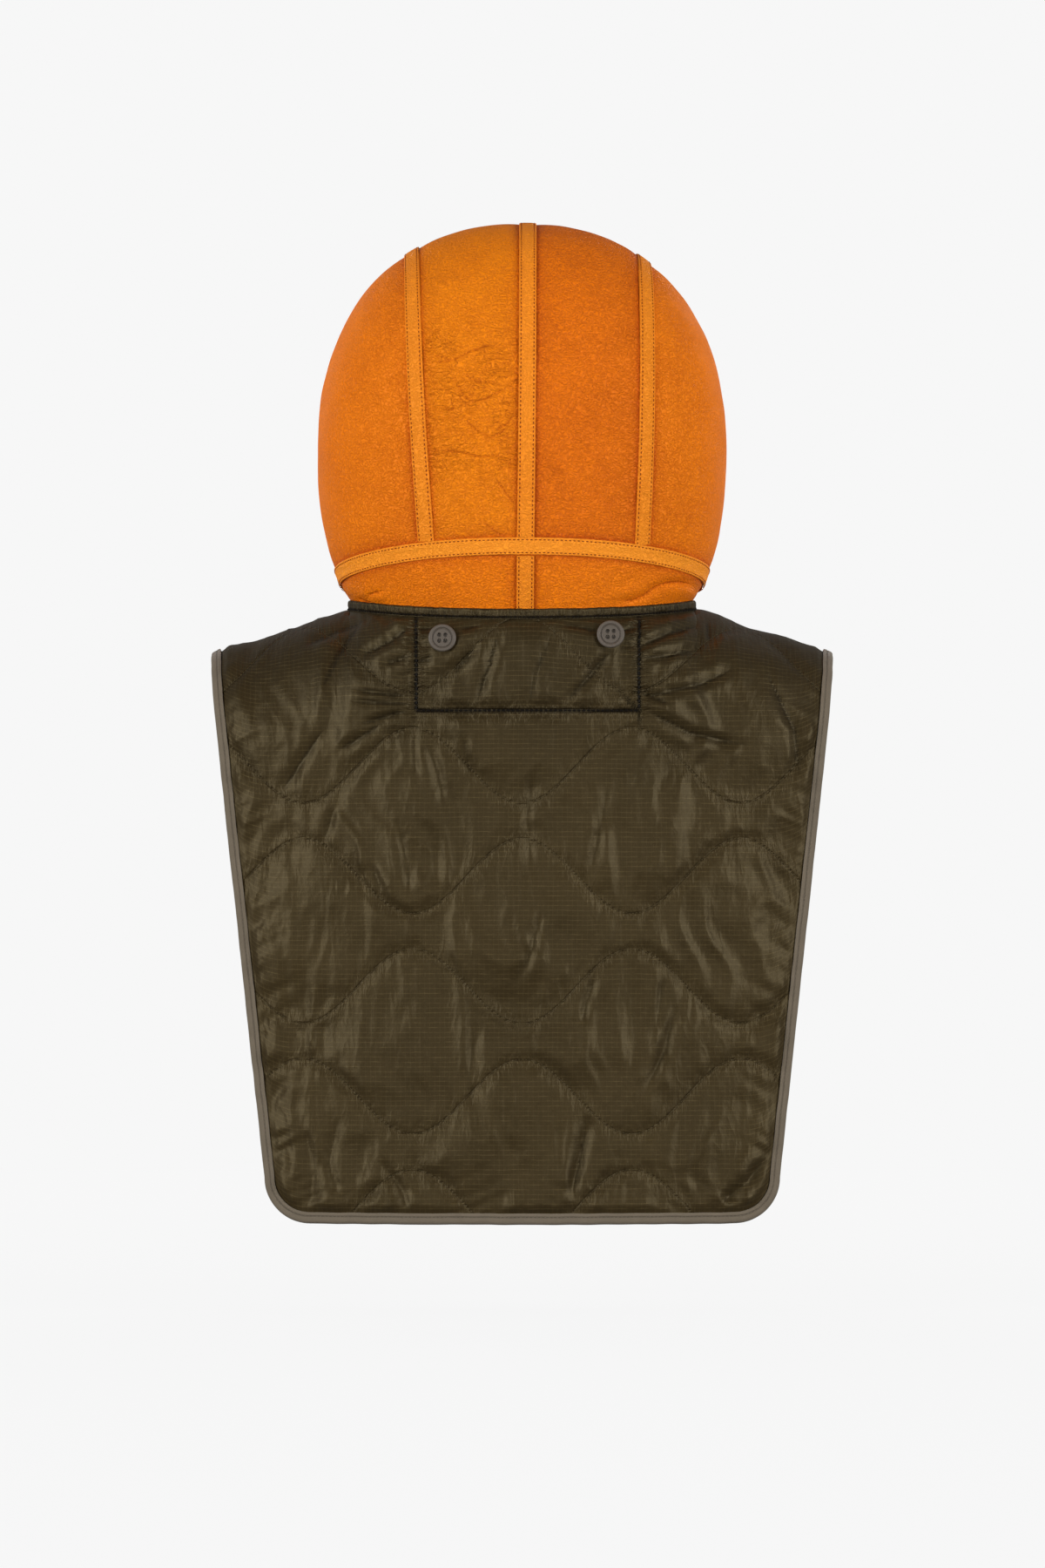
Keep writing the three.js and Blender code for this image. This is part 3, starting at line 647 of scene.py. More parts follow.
@dataclass(frozen=True)
class Wool(Finish):
    """Curly wool pile: cream, darker between the curls, there partly the roots' own tone and partly painted
    shade in the hollows, with fine fibres.
    """

    name: str = "wool_pile"
    tip: Colour = (250, 241, 220)
    # root: the darker colour, the roots' tone, which the painted shade between the curls also mixes towards.
    root: Colour = (206, 184, 146)
    curl: float = 3.2 * MM
    fibre: float = 0.8 * MM
    depth: float = 0.9 * MM

    def inputs(self, g: Graph) -> dict:
        """The shader's inputs. They read the attribute lump, the height of a curl."""
        swirl = g.swirled(g.place(), 6 * MM, 12 * MM)
        fibres = g.noise(g.stretched(swirl, (1.0, 1.0, 0.35)), self.fibre, 3, 0.6)
        curls = g.cells(swirl, self.curl)
        # Darker where a curl sits low: painted shade in the hollows between the curls, mixed towards the
        # roots' tone.
        shade = (1 - g.attribute("lump") + (fibres - 0.5) * 0.5).clamp()
        return {
            "Base Color": g.toned(shade, self.tip, self.root),
            "Roughness": 0.95,
            "Specular IOR Level": 0.15,
            "Sheen Weight": 0.35,
            "Sheen Roughness": 0.6,
            "Normal": g.bump(fibres * 0.6 - curls * 0.9, self.depth),
        }


@dataclass(frozen=True)
class RipstopNylon(Finish):
    """Satin nylon: a ripstop grid on the fabric's own coordinates, with a painted sheen on its ribs, puckers
    off every row of stitches, and painted shade in the stitch grooves, the folds and towards the top.
    """

    name: str = "quilted_nylon"
    colour: Colour = (54, 43, 24)
    shade: Colour = (27, 20, 9)
    # rib: the lighter tint of the grid's ribs, a painted sheen on the weave.
    rib: Colour = (98, 84, 55)
    gleam: Colour = (226, 206, 160)
    thread: Colour = (17, 13, 9)
    grid: float = 3.5 * MM
    pucker: float = 2.6 * MM
    pucker_run: float = 9 * MM
    depth: float = 0.8 * MM

    def inputs(self, g: Graph) -> dict:
        """The shader's inputs. They read the attributes wave, box, along and fold, and the fabric UV map."""
        place = g.place()
        cloth = g.node("ShaderNodeUVMap", {"uv_map": "fabric"}, {}, "UV")
        x, y = g.split(cloth)
        wander = (g.noise(place, 20 * MM, 2) - 0.5) * (1.6 * MM)
        turns = 2 * math.pi / self.grid
        rib_down, rib_across = (((v + wander) * turns).wave().clamp() ** 8 for v in (y, x))
        broken = (g.noise(g.stretched(cloth, (1.0, 2.5, 1.0)), 9 * MM, 2, 0.7) * 2.4 - 0.75).clamp()
        ribs = (rib_down * broken + rib_across * broken * 0.35).clamp()
        wave, box = g.attribute("wave"), g.attribute("box")
        wave_puckers, box_puckers = (
            g.noise(g.joined(along / self.pucker, row / self.pucker_run), 1.0, 2, 0.6) * 2 - 1
            for along, row in ((x, wave), (g.attribute("along"), box))
        )
        puckers = wave_puckers * wave.bell(7 * MM) + box_puckers * box.bell(8 * MM) * 1.9
        wave_line, box_line = wave.bell(0.7 * MM), box.bell(1.1 * MM)
        fold = g.attribute("fold").bell(1.5 * MM)
        # high is 1 at the top of the bib and falls to 0 about 15 cm below the neckline; it paints shade on
        # the top.
        high = ((g.node("ShaderNodeSeparateXYZ", {}, {"Vector": place}, "Z") + 0.42) / 0.1).clamp()
        swirl = g.swirled(g.stretched(cloth, (1.0, 0.34, 1.0)), 30 * MM, 16 * MM)
        creases = g.ridges(swirl, 15 * MM, 2)
        finer = g.swirled(g.stretched(cloth, (1.0, 0.5, 1.0)), 9 * MM, 3 * MM)
        small = g.ridges(finer, 4.2 * MM, 2)
        crinkle = g.noise(cloth, 2.2 * MM, 3, 0.65)
        patches = g.noise(place, 50 * MM, 3, 0.6)
        # Painted shade: darker towards the top (high), in the grooves of the wave stitches and the box
        # (wave_line, box_line), and in the drawn folds and the neck edge's pleats (fold). The puckers paint
        # light and shade in streaks. The patches are the cloth's own tone.
        dark = (
            0.27
            + high * 0.26
            + (patches - 0.5) * 0.6
            + wave_line * 0.45
            + box_line * 1.2
            + puckers * 0.26
            + fold * 0.7
        ).clamp()
        tone = g.toned(dark, self.colour, self.shade)
        # The ripstop grid is the weave; its lighter tint on the ribs is a painted sheen.
        ribbed = g.toned(ribs * 0.5, tone, self.rib)
        # Along the box stitching and the neck edge's seam the colour goes to the black thread's tone over a
        # wider band than the thread: partly the black stitching itself, partly painted shade in its groove.
        base = g.toned((box.bell(1.5 * MM) * 0.85).clamp(), ribbed, self.thread)
        height = (
            puckers * 0.95
            + creases * 0.95
            - fold * 0.5
            + small * 0.14
            + crinkle * 0.12
            + ribs * 0.06
            - wave_line * 0.7
            - box_line * 1.6
        )
        return {
            "Base Color": base,
            "Roughness": 0.4 + crinkle * 0.12 - ribs * 0.06,
            "Specular IOR Level": 0.36,
            "Specular Tint": linear(*self.gleam),
            "Normal": g.bump(height, self.depth),
        }


@dataclass(frozen=True)
class BindingCloth(Finish):
    """Matt woven tape: slanting ribs, slight gathers, and painted shade in the groove along its row of
    stitches.
    """

    name: str = "binding_tape"
    colour: Colour = (114, 103, 87)
    shade: Colour = (80, 71, 58)
    rib: float = 0.9 * MM

    def inputs(self, g: Graph) -> dict:
        """The shader's inputs. They read the attributes along and across, in metres."""
        along = g.attribute("along")
        across = g.attribute("across")
        ribs = ((along + across * 0.6) * (2 * math.pi / self.rib)).wave() * 0.5 + 0.5
        patches = g.noise(g.place(), 12 * MM, 3, 0.6)
        # Painted shade in the groove along the row of stitches.
        seam = (across + BINDING_ROW).bell(0.5 * MM)
        dark = (0.25 + (patches - 0.5) * 0.5 + ribs * 0.15 + seam * 0.5).clamp()
        gathers = g.noise(g.joined(along / (4 * MM), across / (9 * MM)), 1.0, 2)
        return {
            "Base Color": g.toned(dark, self.colour, self.shade),
            "Roughness": 0.82,
            "Specular IOR Level": 0.25,
            "Sheen Weight": 0.15,
            "Normal": g.bump(ribs * 0.1 + gathers * 0.8 - seam * 0.9, 0.35 * MM),
        }


@dataclass(frozen=True)
class Plain(Finish):
    """A small part's finish: one tone with faint blotches and a fine tooth."""

    colour: Colour
    shade: Colour
    roughness: float
    tooth: float = 0.4 * MM
    depth: float = 0.04 * MM

    def inputs(self, g: Graph) -> dict:
        """The shader's inputs."""
        place = g.place()
        patches = g.noise(place, 3 * MM, 3, 0.6)
        grain = g.noise(place, self.tooth, 2)
        return {
            "Base Color": g.toned(patches, self.colour, self.shade),
            "Roughness": self.roughness + (grain - 0.5) * 0.1,
            "Specular IOR Level": 0.15,
            "Normal": g.bump(grain, self.depth),
        }


@dataclass(frozen=True)
class Resin(Finish):
    """Satin button resin, with painted shade inside the holes."""

    name: str = "button_resin"
    colour: Colour = (92, 83, 73)
    shade: Colour = (79, 71, 63)
    # Near black: the painted shade inside the holes.
    pit: Colour = (8, 6, 5)

    def inputs(self, g: Graph) -> dict:
        """The shader's inputs. They read the attribute pit, which is 1 in a hole."""
        patches = g.noise(g.place(), 2.5 * MM, 3, 0.6)
        tone = g.toned(patches, self.colour, self.shade)
        return {
            "Base Color": g.toned(g.attribute("pit").clamp(), tone, self.pit),
            "Roughness": 0.42 + patches * 0.1,
            "Specular IOR Level": 0.35,
            "Normal": g.bump(g.noise(g.place(), 0.5 * MM, 2), 0.03 * MM),
        }


# The hood


@dataclass(frozen=True)
class Seam:
    """A seam over the crown: its X at the nape, half way, and at the forehead."""

    nape: float
    middle: float
    forehead: float

    def across(self, share: Array) -> Array:
        """X at shares of the seam's length, on the parabola through the three named places."""
        return (
            self.nape * (2 * share - 1) * (share - 1)
            + self.middle * 4 * share * (1 - share)
            + self.forehead * share * (2 * share - 1)
        )


@dataclass(frozen=True)
class Crease:
    """A crease as the photograph shows it: corners as X and height from the neckline, depth and width."""

    corners: tuple[tuple[float, float], ...]
    depth: float
    width: float


def drawn_relief(seen: Array, creases: tuple[Crease, ...]) -> tuple[Array, Array]:
    """Height of drawn creases and the distance to the nearest.

    Each is a bell-shaped groove with a low roll on both sides, and fades out at its ends.

    Args:
        seen: X and height of the places, as the camera sees them.
        creases: the creases.

    Returns:
        Two arrays.
    """
    height = np.zeros(seen.shape[:-1])
    nearest = np.full(seen.shape[:-1], 1.0)
    for crease in creases:
        distance, where = line_distance(seen, np.array(crease.corners))
        fade = np.clip(4 * np.minimum(where, 1 - where) + 0.25, 0, 1)
        roll = bell(distance - 2.2 * crease.width, 1.6 * crease.width)
        height += fade * crease.depth * (0.5 * roll - bell(distance, crease.width))
        nearest = np.minimum(nearest, distance + (1 - fade) * 2 * MM)
    return height, nearest


@dataclass(frozen=True)
class Camera:
    """Where the photograph was taken from: level, far off on the -Y side, aimed at a height."""

    distance: float = 6.0
    aim: float = -0.1286
    frame_height: float = 1.143
    sensor: float = 36.0

    def seen(self, points: Array) -> Array:
        """X and height of points as the camera sees them on the plane y = 0: enlarged as they come nearer."""
        larger = self.distance / (self.distance + points[..., 1])
        return joined(points[..., 0] * larger, self.aim + (points[..., 2] - self.aim) * larger)

    def build(self) -> None:
        """Makes the scene's camera."""
        data = bpy.data.cameras.new("camera")
        data.sensor_width = self.sensor
        data.lens = self.sensor * self.distance / self.frame_height
        data.clip_end = 100
        camera = bpy.data.objects.new("camera", data)
        camera.location = (0.0003, -self.distance, self.aim + NECKLINE_Z)
        camera.rotation_euler = (math.pi / 2, 0, 0)
        bpy.context.scene.collection.objects.link(camera)
        bpy.context.scene.camera = camera


@dataclass
class HoodForm:
    """The hood's rounded form, |x/a|^n + |y/b|^n + |z/c|^n = 1 about its centre, and the seams on it."""

    half_width: float = 0.148
    back: float = 0.125
    front: float = 0.150
    rise: float = 0.1665
    fall: float = 0.182
    centre: float = 0.112
    power: float = 2.25
    nape: tuple[float, float, float] = (0.021, -0.0972, 0.656)
    face: tuple[float, float, float] = (0.121, -0.0114, -0.72)
    seams: dict[str, Seam] = field(default_factory=lambda: {
        "left": Seam(-0.0682, -0.078, -0.080),
        "centre": Seam(0.0025, 0.004, 0.004),
        "right": Seam(0.0857, 0.0898, 0.084),
    })

    def axes(self, p: Array) -> tuple[tuple[Array, Array | float], ...]:
        """For each axis, the points' places from the centre and the form's radius on their side of it."""
        x, y, z = p[..., 0], p[..., 1], p[..., 2] - self.centre
        deep = np.where(y < 0, self.back, self.front)
        high = np.where(z < 0, self.fall, self.rise)
        return (x, self.half_width), (y, deep), (z, high)

    def level(self, p: Array) -> Array:
        """1 on the form, less inside it."""
        return sum(np.abs(value / radius) ** self.power for value, radius in self.axes(p))

    def project(self, p: Array) -> Array:
        """Points moved onto the form along rays from its centre."""
        centre = np.array([0, 0, self.centre])
        return (p - centre) * self.level(p)[..., None] ** (-1 / self.power) + centre

    def normal(self, p: Array) -> Array:
        """Outward directions: the gradient of the level."""
        return unit(joined(*(axis_slope(value, radius, self.power) for value, radius in self.axes(p))))

    def nape_height(self, y: Array) -> Array:
        """Height of the nape seam at a depth, a parabola."""
        level, slope, curve = self.nape
        return level + slope * y + curve * y * y

    def face_depth(self, z: Array) -> Array:
        """Depth of the face edge at a height, a parabola."""
        throat, lean, curve = self.face
        return throat + lean * z + curve * z * z

    def past_face(self, p: Array) -> Array:
        """How far in front of the face edge points are."""
        return p[..., 1] - self.face_depth(p[..., 2])

    def nape_point(self, azimuth: Array | float) -> Array:
        """Points of the nape seam; the azimuth is 0 at the back and grows towards +X."""
        azimuth = np.asarray(azimuth, float)

        def at(radius: Array) -> Array:
            """The point at a radius from the axis."""
            y = -radius * np.cos(azimuth)
            return joined(radius * np.sin(azimuth), y, self.nape_height(y))

        low, high = np.full(azimuth.shape, 0.02), np.full(azimuth.shape, 0.2)
        return at(zero_of(lambda r: self.level(at(r)) - 1, low, high))

    def nape_azimuth(self, x: float) -> float:
        """Azimuth at which the back of the nape seam passes x."""
        return float(zero_of(lambda a: self.nape_point(a)[..., 0] - x, -math.pi / 2, math.pi / 2))

    def face_azimuth(self) -> float:
        """Azimuth at which the nape seam meets the face edge, on the right."""
        return float(zero_of(lambda a: self.past_face(self.nape_point(a)), math.pi / 2, math.pi))

    def crown_point(self, x: Array, angle: Array) -> Array:
        """Points of the form at x, at a side-view angle: 0 at the back and a right angle at the crown."""
        back, up = np.cos(angle), np.sin(angle)
        n = self.power
        left = 1 - np.abs(x / self.half_width) ** n
        deep = np.where(back > 0, self.back, self.front)
        high = np.where(up < 0, self.fall, self.rise)
        reach = (left / (np.abs(back / deep) ** n + np.abs(up / high) ** n)) ** (1 / n)
        return joined(x, -back * reach, self.centre + up * reach)

    def face_point(self, x: Array | float) -> Array:
        """Where the crown at x meets the face edge."""
        x = np.asarray(x, float)
        low, high = np.full(x.shape, math.radians(80)), np.full(x.shape, math.radians(175))
        return self.crown_point(x, zero_of(lambda a: self.past_face(self.crown_point(x, a)), low, high))

    def seam_run(self, name: str, shares: Array) -> Array:
        """Points of a crown seam from the nape over the crown to the face edge."""
        seam = self.seams[name]
        ends = [self.nape_point(self.nape_azimuth(seam.nape)), self.face_point(seam.forehead)]
        start, end = (math.atan2(p[2] - self.centre, -p[1]) for p in ends)
        return self.crown_point(seam.across(shares), mix(start, end, shares))

    def patch(self, bottom: Array, top: Array, left: Array, right: Array) -> Array:
        """Fills four edges that share their corners, and puts each point on the form.

        The fill is the sum of the two blends between opposite edges, less the blend of the four corners.
        """
        v = np.linspace(0, 1, len(left))[:, None, None]
        u = np.linspace(0, 1, len(bottom))[None, :, None]
        ruled = mix(bottom[None], top[None], v) + mix(left[:, None], right[:, None], u)
        corners = mix(mix(bottom[0], bottom[-1], u), mix(top[0], top[-1], u), v)
        return self.project(ruled - corners)


@dataclass
class NeckHole:
    """The neck hole in plan, |x/a|^n + |y/b|^n = 1, and the height of the neckline."""

    half_width: float = 0.1215
    back: float = 0.103
    front: float = 0.110
    power: float = 2.5
    level: float = 5 * MM
    back_drop: float = 7.6 * MM
    front_drop: float = 70 * MM

    def height(self, y: Array) -> Array:
        """Height of the neckline at a depth: it falls with the square of the depth."""
        back = self.back_drop * (y / self.back) ** 2
        front = self.front_drop * (y / self.front) ** 2
        return self.level - np.where(y < 0, back, front)

    def point(self, azimuth: Array, out: Array | float = 0.0) -> Array:
        """Points of the neckline at azimuths, moved out in plan."""
        across, deep = np.sin(azimuth), -np.cos(azimuth)
        depth = np.where(deep < 0, self.back, self.front) + out
        spent = np.abs(across / (self.half_width + out)) ** self.power + np.abs(deep / depth) ** self.power
        radius = spent ** (-1 / self.power)
        return joined(radius * across, radius * deep, self.height(radius * deep))

    def normal(self, p: Array) -> Array:
        """Outward directions in plan."""
        depth = np.where(p[..., 1] < 0, self.back, self.front)
        across = axis_slope(p[..., 0], self.half_width, self.power)
        return unit(joined(across, axis_slope(p[..., 1], depth, self.power), 0))


# Creases as they show from behind: X and height from the neckline, in metres.
SIDE_CREASES = (
    Crease(((-0.142, 0.097), (-0.130, 0.0995), (-0.119, 0.1015), (-0.1105, 0.0995), (-0.103, 0.0965),
            (-0.093, 0.092)), 0.6 * MM, 2.4 * MM),
    Crease(((-0.140, 0.0708), (-0.130, 0.069), (-0.119, 0.066), (-0.105, 0.060), (-0.095, 0.055),
            (-0.0865, 0.048)), 0.9 * MM, 3.0 * MM),
    Crease(((-0.105, 0.060), (-0.095, 0.0625), (-0.087, 0.0635)), 0.4 * MM, 2 * MM),
    Crease(((0.098, 0.047), (0.112, 0.043), (0.124, 0.036)), 0.3 * MM, 2 * MM),
)
CROWN_CREASES = (
    Crease(((-0.070, 0.184), (-0.0575, 0.183), (-0.051, 0.180), (-0.038, 0.1865), (-0.0257, 0.1905),
            (-0.0035, 0.191)), 0.7 * MM, 2.6 * MM),
    Crease(((-0.068, 0.179), (-0.0575, 0.179), (-0.048, 0.1805)), 0.4 * MM, 2 * MM),
    Crease(((-0.050, 0.1725), (-0.048, 0.164), (-0.0416, 0.1536), (-0.035, 0.150), (-0.0257, 0.1525),
            (-0.013, 0.1595), (-0.0036, 0.163)), 0.6 * MM, 2.2 * MM),
    Crease(((-0.0436, 0.1737), (-0.038, 0.167), (-0.031, 0.164), (-0.015, 0.165)), 0.4 * MM, 2 * MM),
    Crease(((-0.057, 0.148), (-0.055, 0.144), (-0.051, 0.144), (-0.047, 0.147)), 0.4 * MM, 1.8 * MM),
    Crease(((-0.0436, 0.142), (-0.038, 0.1337), (-0.032, 0.1285), (-0.023, 0.124), (-0.0155, 0.1276),
            (-0.0035, 0.1364)), 0.5 * MM, 2 * MM),
    Crease(((-0.0613, 0.120), (-0.0537, 0.1146), (-0.043, 0.1133), (-0.032, 0.110), (-0.021, 0.1108),
            (-0.0045, 0.109)), 0.6 * MM, 2.2 * MM),
    Crease(((-0.005, 0.142), (-0.011, 0.1337), (-0.0206, 0.1286)), 0.4 * MM, 2 * MM),
    Crease(((-0.021, 0.097), (-0.012, 0.084), (-0.0035, 0.073)), 0.35 * MM, 2 * MM),
    Crease(((-0.030, 0.064), (-0.020, 0.056), (-0.012, 0.051)), 0.35 * MM, 2 * MM),
)
NECK_CREASES = (
    Crease(((0.062, 0.0022), (0.073, 0.004), (0.0835, 0.0063), (0.090, 0.0098), (0.0956, 0.014),
            (0.103, 0.0173), (0.114, 0.0187), (0.122, 0.0173), (0.1275, 0.013)), 1.9 * MM, 2.8 * MM),
    Crease(((-0.121, 0.0085), (-0.115, 0.0048), (-0.107, 0.0022), (-0.098, 0.0012)), 1.5 * MM, 2.6 * MM),
    Crease(((-0.113, 0.0075), (-0.108, 0.0105), (-0.100, 0.0125)), 0.9 * MM, 2.2 * MM),
)


# Each kind of panel: its name without the side, and the creases that may cross it.
PANELS = {
    "crown": ("crown_panel", CROWN_CREASES),
    "side": ("side_panel", SIDE_CREASES),
    "neck": ("neck_band", NECK_CREASES),
}


@dataclass
class Hood:
    """The shearling hood: leather panels, wool inside them, and leather tapes over the seams."""

    camera: Camera
    form: HoodForm = field(default_factory=HoodForm)
    hole: NeckHole = field(default_factory=NeckHole)
    skin: float = 1.6 * MM
    pile: float = 8 * MM
    seam_gap: float = 0.15 * MM
    neck_bulge: float = 2 * MM
    tuck: float = 12 * MM
    tape_width: float = 12.5 * MM
    tape_lift: float = 0.45 * MM
    tape_thick: float = 1.2 * MM
    stitch_inset: float = 1.6 * MM
    stitch_pitch: float = 3.1 * MM
    cell: float = 1.5 * MM
    pile_cell: float = 1.7 * MM
    keep: int = 3
    seam_swell: float = 0.9 * MM
    deepest: float = 1.1 * MM
    large_curl: float = 7.5 * MM
    small_curl: float = 3.6 * MM
    finishes: tuple[Finish, ...] = (
        Leather("leather_crown_left", (241, 132, 10), (200, 94, 5)),
        Leather("leather_crown_right", (231, 115, 8), (184, 78, 6), wrinkles=0.8),
        Leather("leather_side", (241, 126, 12), (196, 86, 6)),
        Leather("leather_neck", (243, 127, 10), (196, 88, 5), wrinkles=0.7),
        Leather("leather_tape", (247, 143, 32), (224, 118, 20), 0.48, 1.1 * MM, 0.25),
        Leather("leather_nape_tape", (255, 154, 40), (236, 130, 26), 0.48, 1.1 * MM, 0.25),
        Wool(),
        Plain("seam_thread", (148, 62, 12), (116, 44, 8), 0.7),
    )
    materials: dict[str, bpy.types.Material] = field(default_factory=dict)

    def build(self) -> None:
        """Makes the finishes and then every piece of the hood."""
        self.materials = {finish.name: finish.build() for finish in self.finishes}
        for side in Side:
            for kind in PANELS:
                self.add_skin(kind, side)
                self.add_pile(kind, side)
        self.add_tapes()

    def grid(self, kind: str, side: Side, cell: float) -> Array:
        """Grid of a crown, side or neck panel on the form, with cells of a size."""
        makers = {"crown": self.crown_grid, "side": self.side_grid, "neck": self.neck_grid}
        return makers[kind](side, cell)

    def crown_grid(self, side: Side, cell: float) -> Array:
        """Grid of the crown panel beside the centre seam, from the nape to the face edge."""
        seam, centre = self.form.seams[side.label], self.form.seams["centre"]
        columns, rows = snapped(0.085 / cell, self.keep), snapped(0.40 / cell, self.keep)
        azimuths = [self.form.nape_azimuth(x) for x in (centre.nape, seam.nape)]
        shares = np.linspace(0, 1, rows)
        return self.form.patch(
            self.form.nape_point(np.linspace(*azimuths, columns)),
            self.form.face_point(np.linspace(centre.forehead, seam.forehead, columns)),
            self.form.seam_run("centre", shares),
            self.form.seam_run(side.label, shares),
        )

    def side_grid(self, side: Side, cell: float) -> Array:
        """Grid of the side panel: its rear edge and its top edge lie on the crown seam."""
        form, seam = self.form, self.form.seams[side.label]
        columns, rows = snapped(0.23 / cell, self.keep), snapped(0.21 / cell, self.keep)
        azimuths = (form.nape_azimuth(seam.nape), side.value * form.face_azimuth())
        bottom = form.nape_point(np.linspace(*azimuths, columns))
        rear = form.seam_run(side.label, np.linspace(0, 0.5, rows))
        top = form.seam_run(side.label, np.linspace(0.5, 1, columns))
        z = np.linspace(bottom[-1, 2], top[-1, 2], rows)
        y = form.face_depth(z)
        rest = 1 - form.level(joined(0, y, z))
        front = joined(side.value * form.half_width * rest ** (1 / form.power), y, z)
        return form.patch(bottom, top, rear, front)

    def neck_azimuths(self, side: Side, cell: float) -> Array:
        """Azimuths of the neck band's columns, from the centre seam round one side to the throat."""
        start = self.form.nape_azimuth(self.form.seams["centre"].nape)
        return np.linspace(start, side.value * math.pi, snapped(0.40 / cell, self.keep))

    def neck_grid(self, side: Side, cell: float) -> Array:
        """Grid of the neck band: from the nape seam to the neckline, bulging, and down inside the bib."""
        azimuths = self.neck_azimuths(side, cell)
        top, line = self.form.nape_point(azimuths), self.hole.point(azimuths)
        tucked = round(self.tuck / cell)
        rows = snapped(0.057 / cell, self.keep) - tucked
        slope = self.neck_slope(top, line, np.linspace(0, 1, rows)[:, None, None])
        drop = np.linspace(0, self.tuck, tucked + 1)[1:, None, None] * np.array([0, 0, 1])
        return np.concatenate([slope, line[None] - drop])

    def neck_slope(self, top: Array, line: Array, share: Array | float) -> Array:
        """Points at a share of the way from the nape seam to the neckline, bulging as a parabola between."""
        swell = self.neck_bulge * (1 - (2 * share - 1) ** 2)
        return mix(top, line, share) + swell * self.hole.normal(top)

    def panel_normals(self, grid: Array, kind: str) -> Array:
        """Outward directions of a panel's grid."""
        if kind != "neck":
            return self.form.normal(grid)
        share = np.clip(np.linspace(0, 1.35, grid.shape[0]), 0, 1)[:, None, None]
        return unit(mix(self.form.normal(grid), self.hole.normal(grid), share))

    def seam_distance(self, grid: Array, kind: str) -> Array:
        """Distance from each grid point to the nearest taped seam, walked along the grid's lines."""
        along, up = run_length(grid, 1), run_length(grid, 0)
        edges = {
            "crown": (along, along[:, -1:] - along, up),
            "side": (along, up[-1:] - up, up),
            "neck": (along, up),
        }[kind]
        return np.min(np.stack(edges), axis=0)

    def face_distance(self, grid: Array, kind: str) -> Array:
        """Distance from each grid point to the free edge round the face, walked along the grid."""
        along, up = run_length(grid, 1), run_length(grid, 0)
        if kind == "crown":
            return up[-1:] - up
        if kind == "side":
            return along[:, -1:] - along
        throat = np.maximum(0, self.form.face_depth(grid[:1, :, 2]) - grid[:1, :, 1])
        return up + throat * 3

    def relief(self, grid: Array, seam: Array, kind: str) -> tuple[Array, Array]:
        """Height of the leather over the form, and the distance to the nearest crease.

        The height is the leather's swell beside the tapes, slow noise, and the drawn creases on the back.

        Args:
            grid: the skin's grid on the form.
            seam: distance from the nearest taped seam.
            kind: crown, side or neck.

        Returns:
            Two arrays.
        """
        height = self.seam_swell * (1 - np.exp(-np.maximum(0, seam - self.tape_width / 2) / (7 * MM)))
        height += 0.5 * MM * noise(grid, 38 * MM, 3) + 0.25 * MM * noise(grid, 13 * MM, 5)
        line = 0.02 if kind != "neck" else 0.06
        behind = smooth_step(line, line - 0.04, grid[..., 1])
        drawn, nearest = drawn_relief(self.camera.seen(grid), PANELS[kind][1])
        share = {"crown": 0.45, "side": 0.2, "neck": 1.0}[kind]
        # nearest sets how dark the leather's painted crease shade is: on the side panels and in front of the
        # back it counts as further off, so the shade is fainter there.
        nearest = nearest + (1.2 * MM if kind == "side" else 0.0) + (1 - behind) * 0.05
        return np.maximum(height + behind * share * drawn, -self.deepest), nearest

    def add_skin(self, kind: str, side: Side) -> None:
        """Adds the leather skin of a crown, side or neck panel."""
        grid = self.grid(kind, side, self.cell)
        normals = self.panel_normals(grid, kind)
        seam = self.seam_distance(grid, kind)
        height, nearest = self.relief(grid, seam, kind)
        outer = grid + normals * height[..., None]
        inner = grid - normals * self.skin
        wrinkle = self.wrinkle_mask(grid, kind, side)
        # crease and seam are the distances from which the leather's finish paints shade in the creases and
        # beside the tapes.
        values = {"crease": nearest, "wrinkle": wrinkle, "seam": seam - self.tape_width / 2}
        values = {key: both_faces(a, self.keep) for key, a in values.items()}
        name, slot = f"{PANELS[kind][0]}_{side.label}", f"leather_{kind}"
        finish = self.materials[f"{slot}_{side.label}" if kind == "crown" else slot]
        skin = make_piece(name, shell(outer, inner, self.keep), finish, (name,), values)
        cut_from(grid)

    def add_pile(self, kind: str, side: Side) -> None:
        """Adds the wool behind a panel: rounded curls of two sizes, thinning out to the face edge."""
        grid = self.grid(kind, side, self.pile_cell)
        normals = self.panel_normals(grid, kind)
        free = self.face_distance(grid, kind)
        rounding = np.sqrt(1 - (1 - np.clip(free / (7 * MM), 0, 1)) ** 2)
        lump = 1 - cell_distance(grid, self.large_curl, 11) ** 2 * 1.3
        small = 1 - cell_distance(grid, self.small_curl, 23) ** 2 * 1.3
        curl = np.clip(0.65 * lump + 0.35 * small, -0.3, 1)
        length = (self.pile - 2.2 * MM + 3.4 * MM * curl) * np.maximum(rounding, 0.02)
        roots = grid - normals * (self.skin + 0.25 * MM)
        tips = grid - normals * (self.skin + 0.5 * MM + length)[..., None]
        lumps = {"lump": both_faces(np.clip(curl, 0, 1), self.keep)}
        name, slot = f"pile_{kind}_{side.label}", "wool_pile"
        make_piece(name, shell(tips, roots, self.keep), self.materials[slot], (name,), lumps)

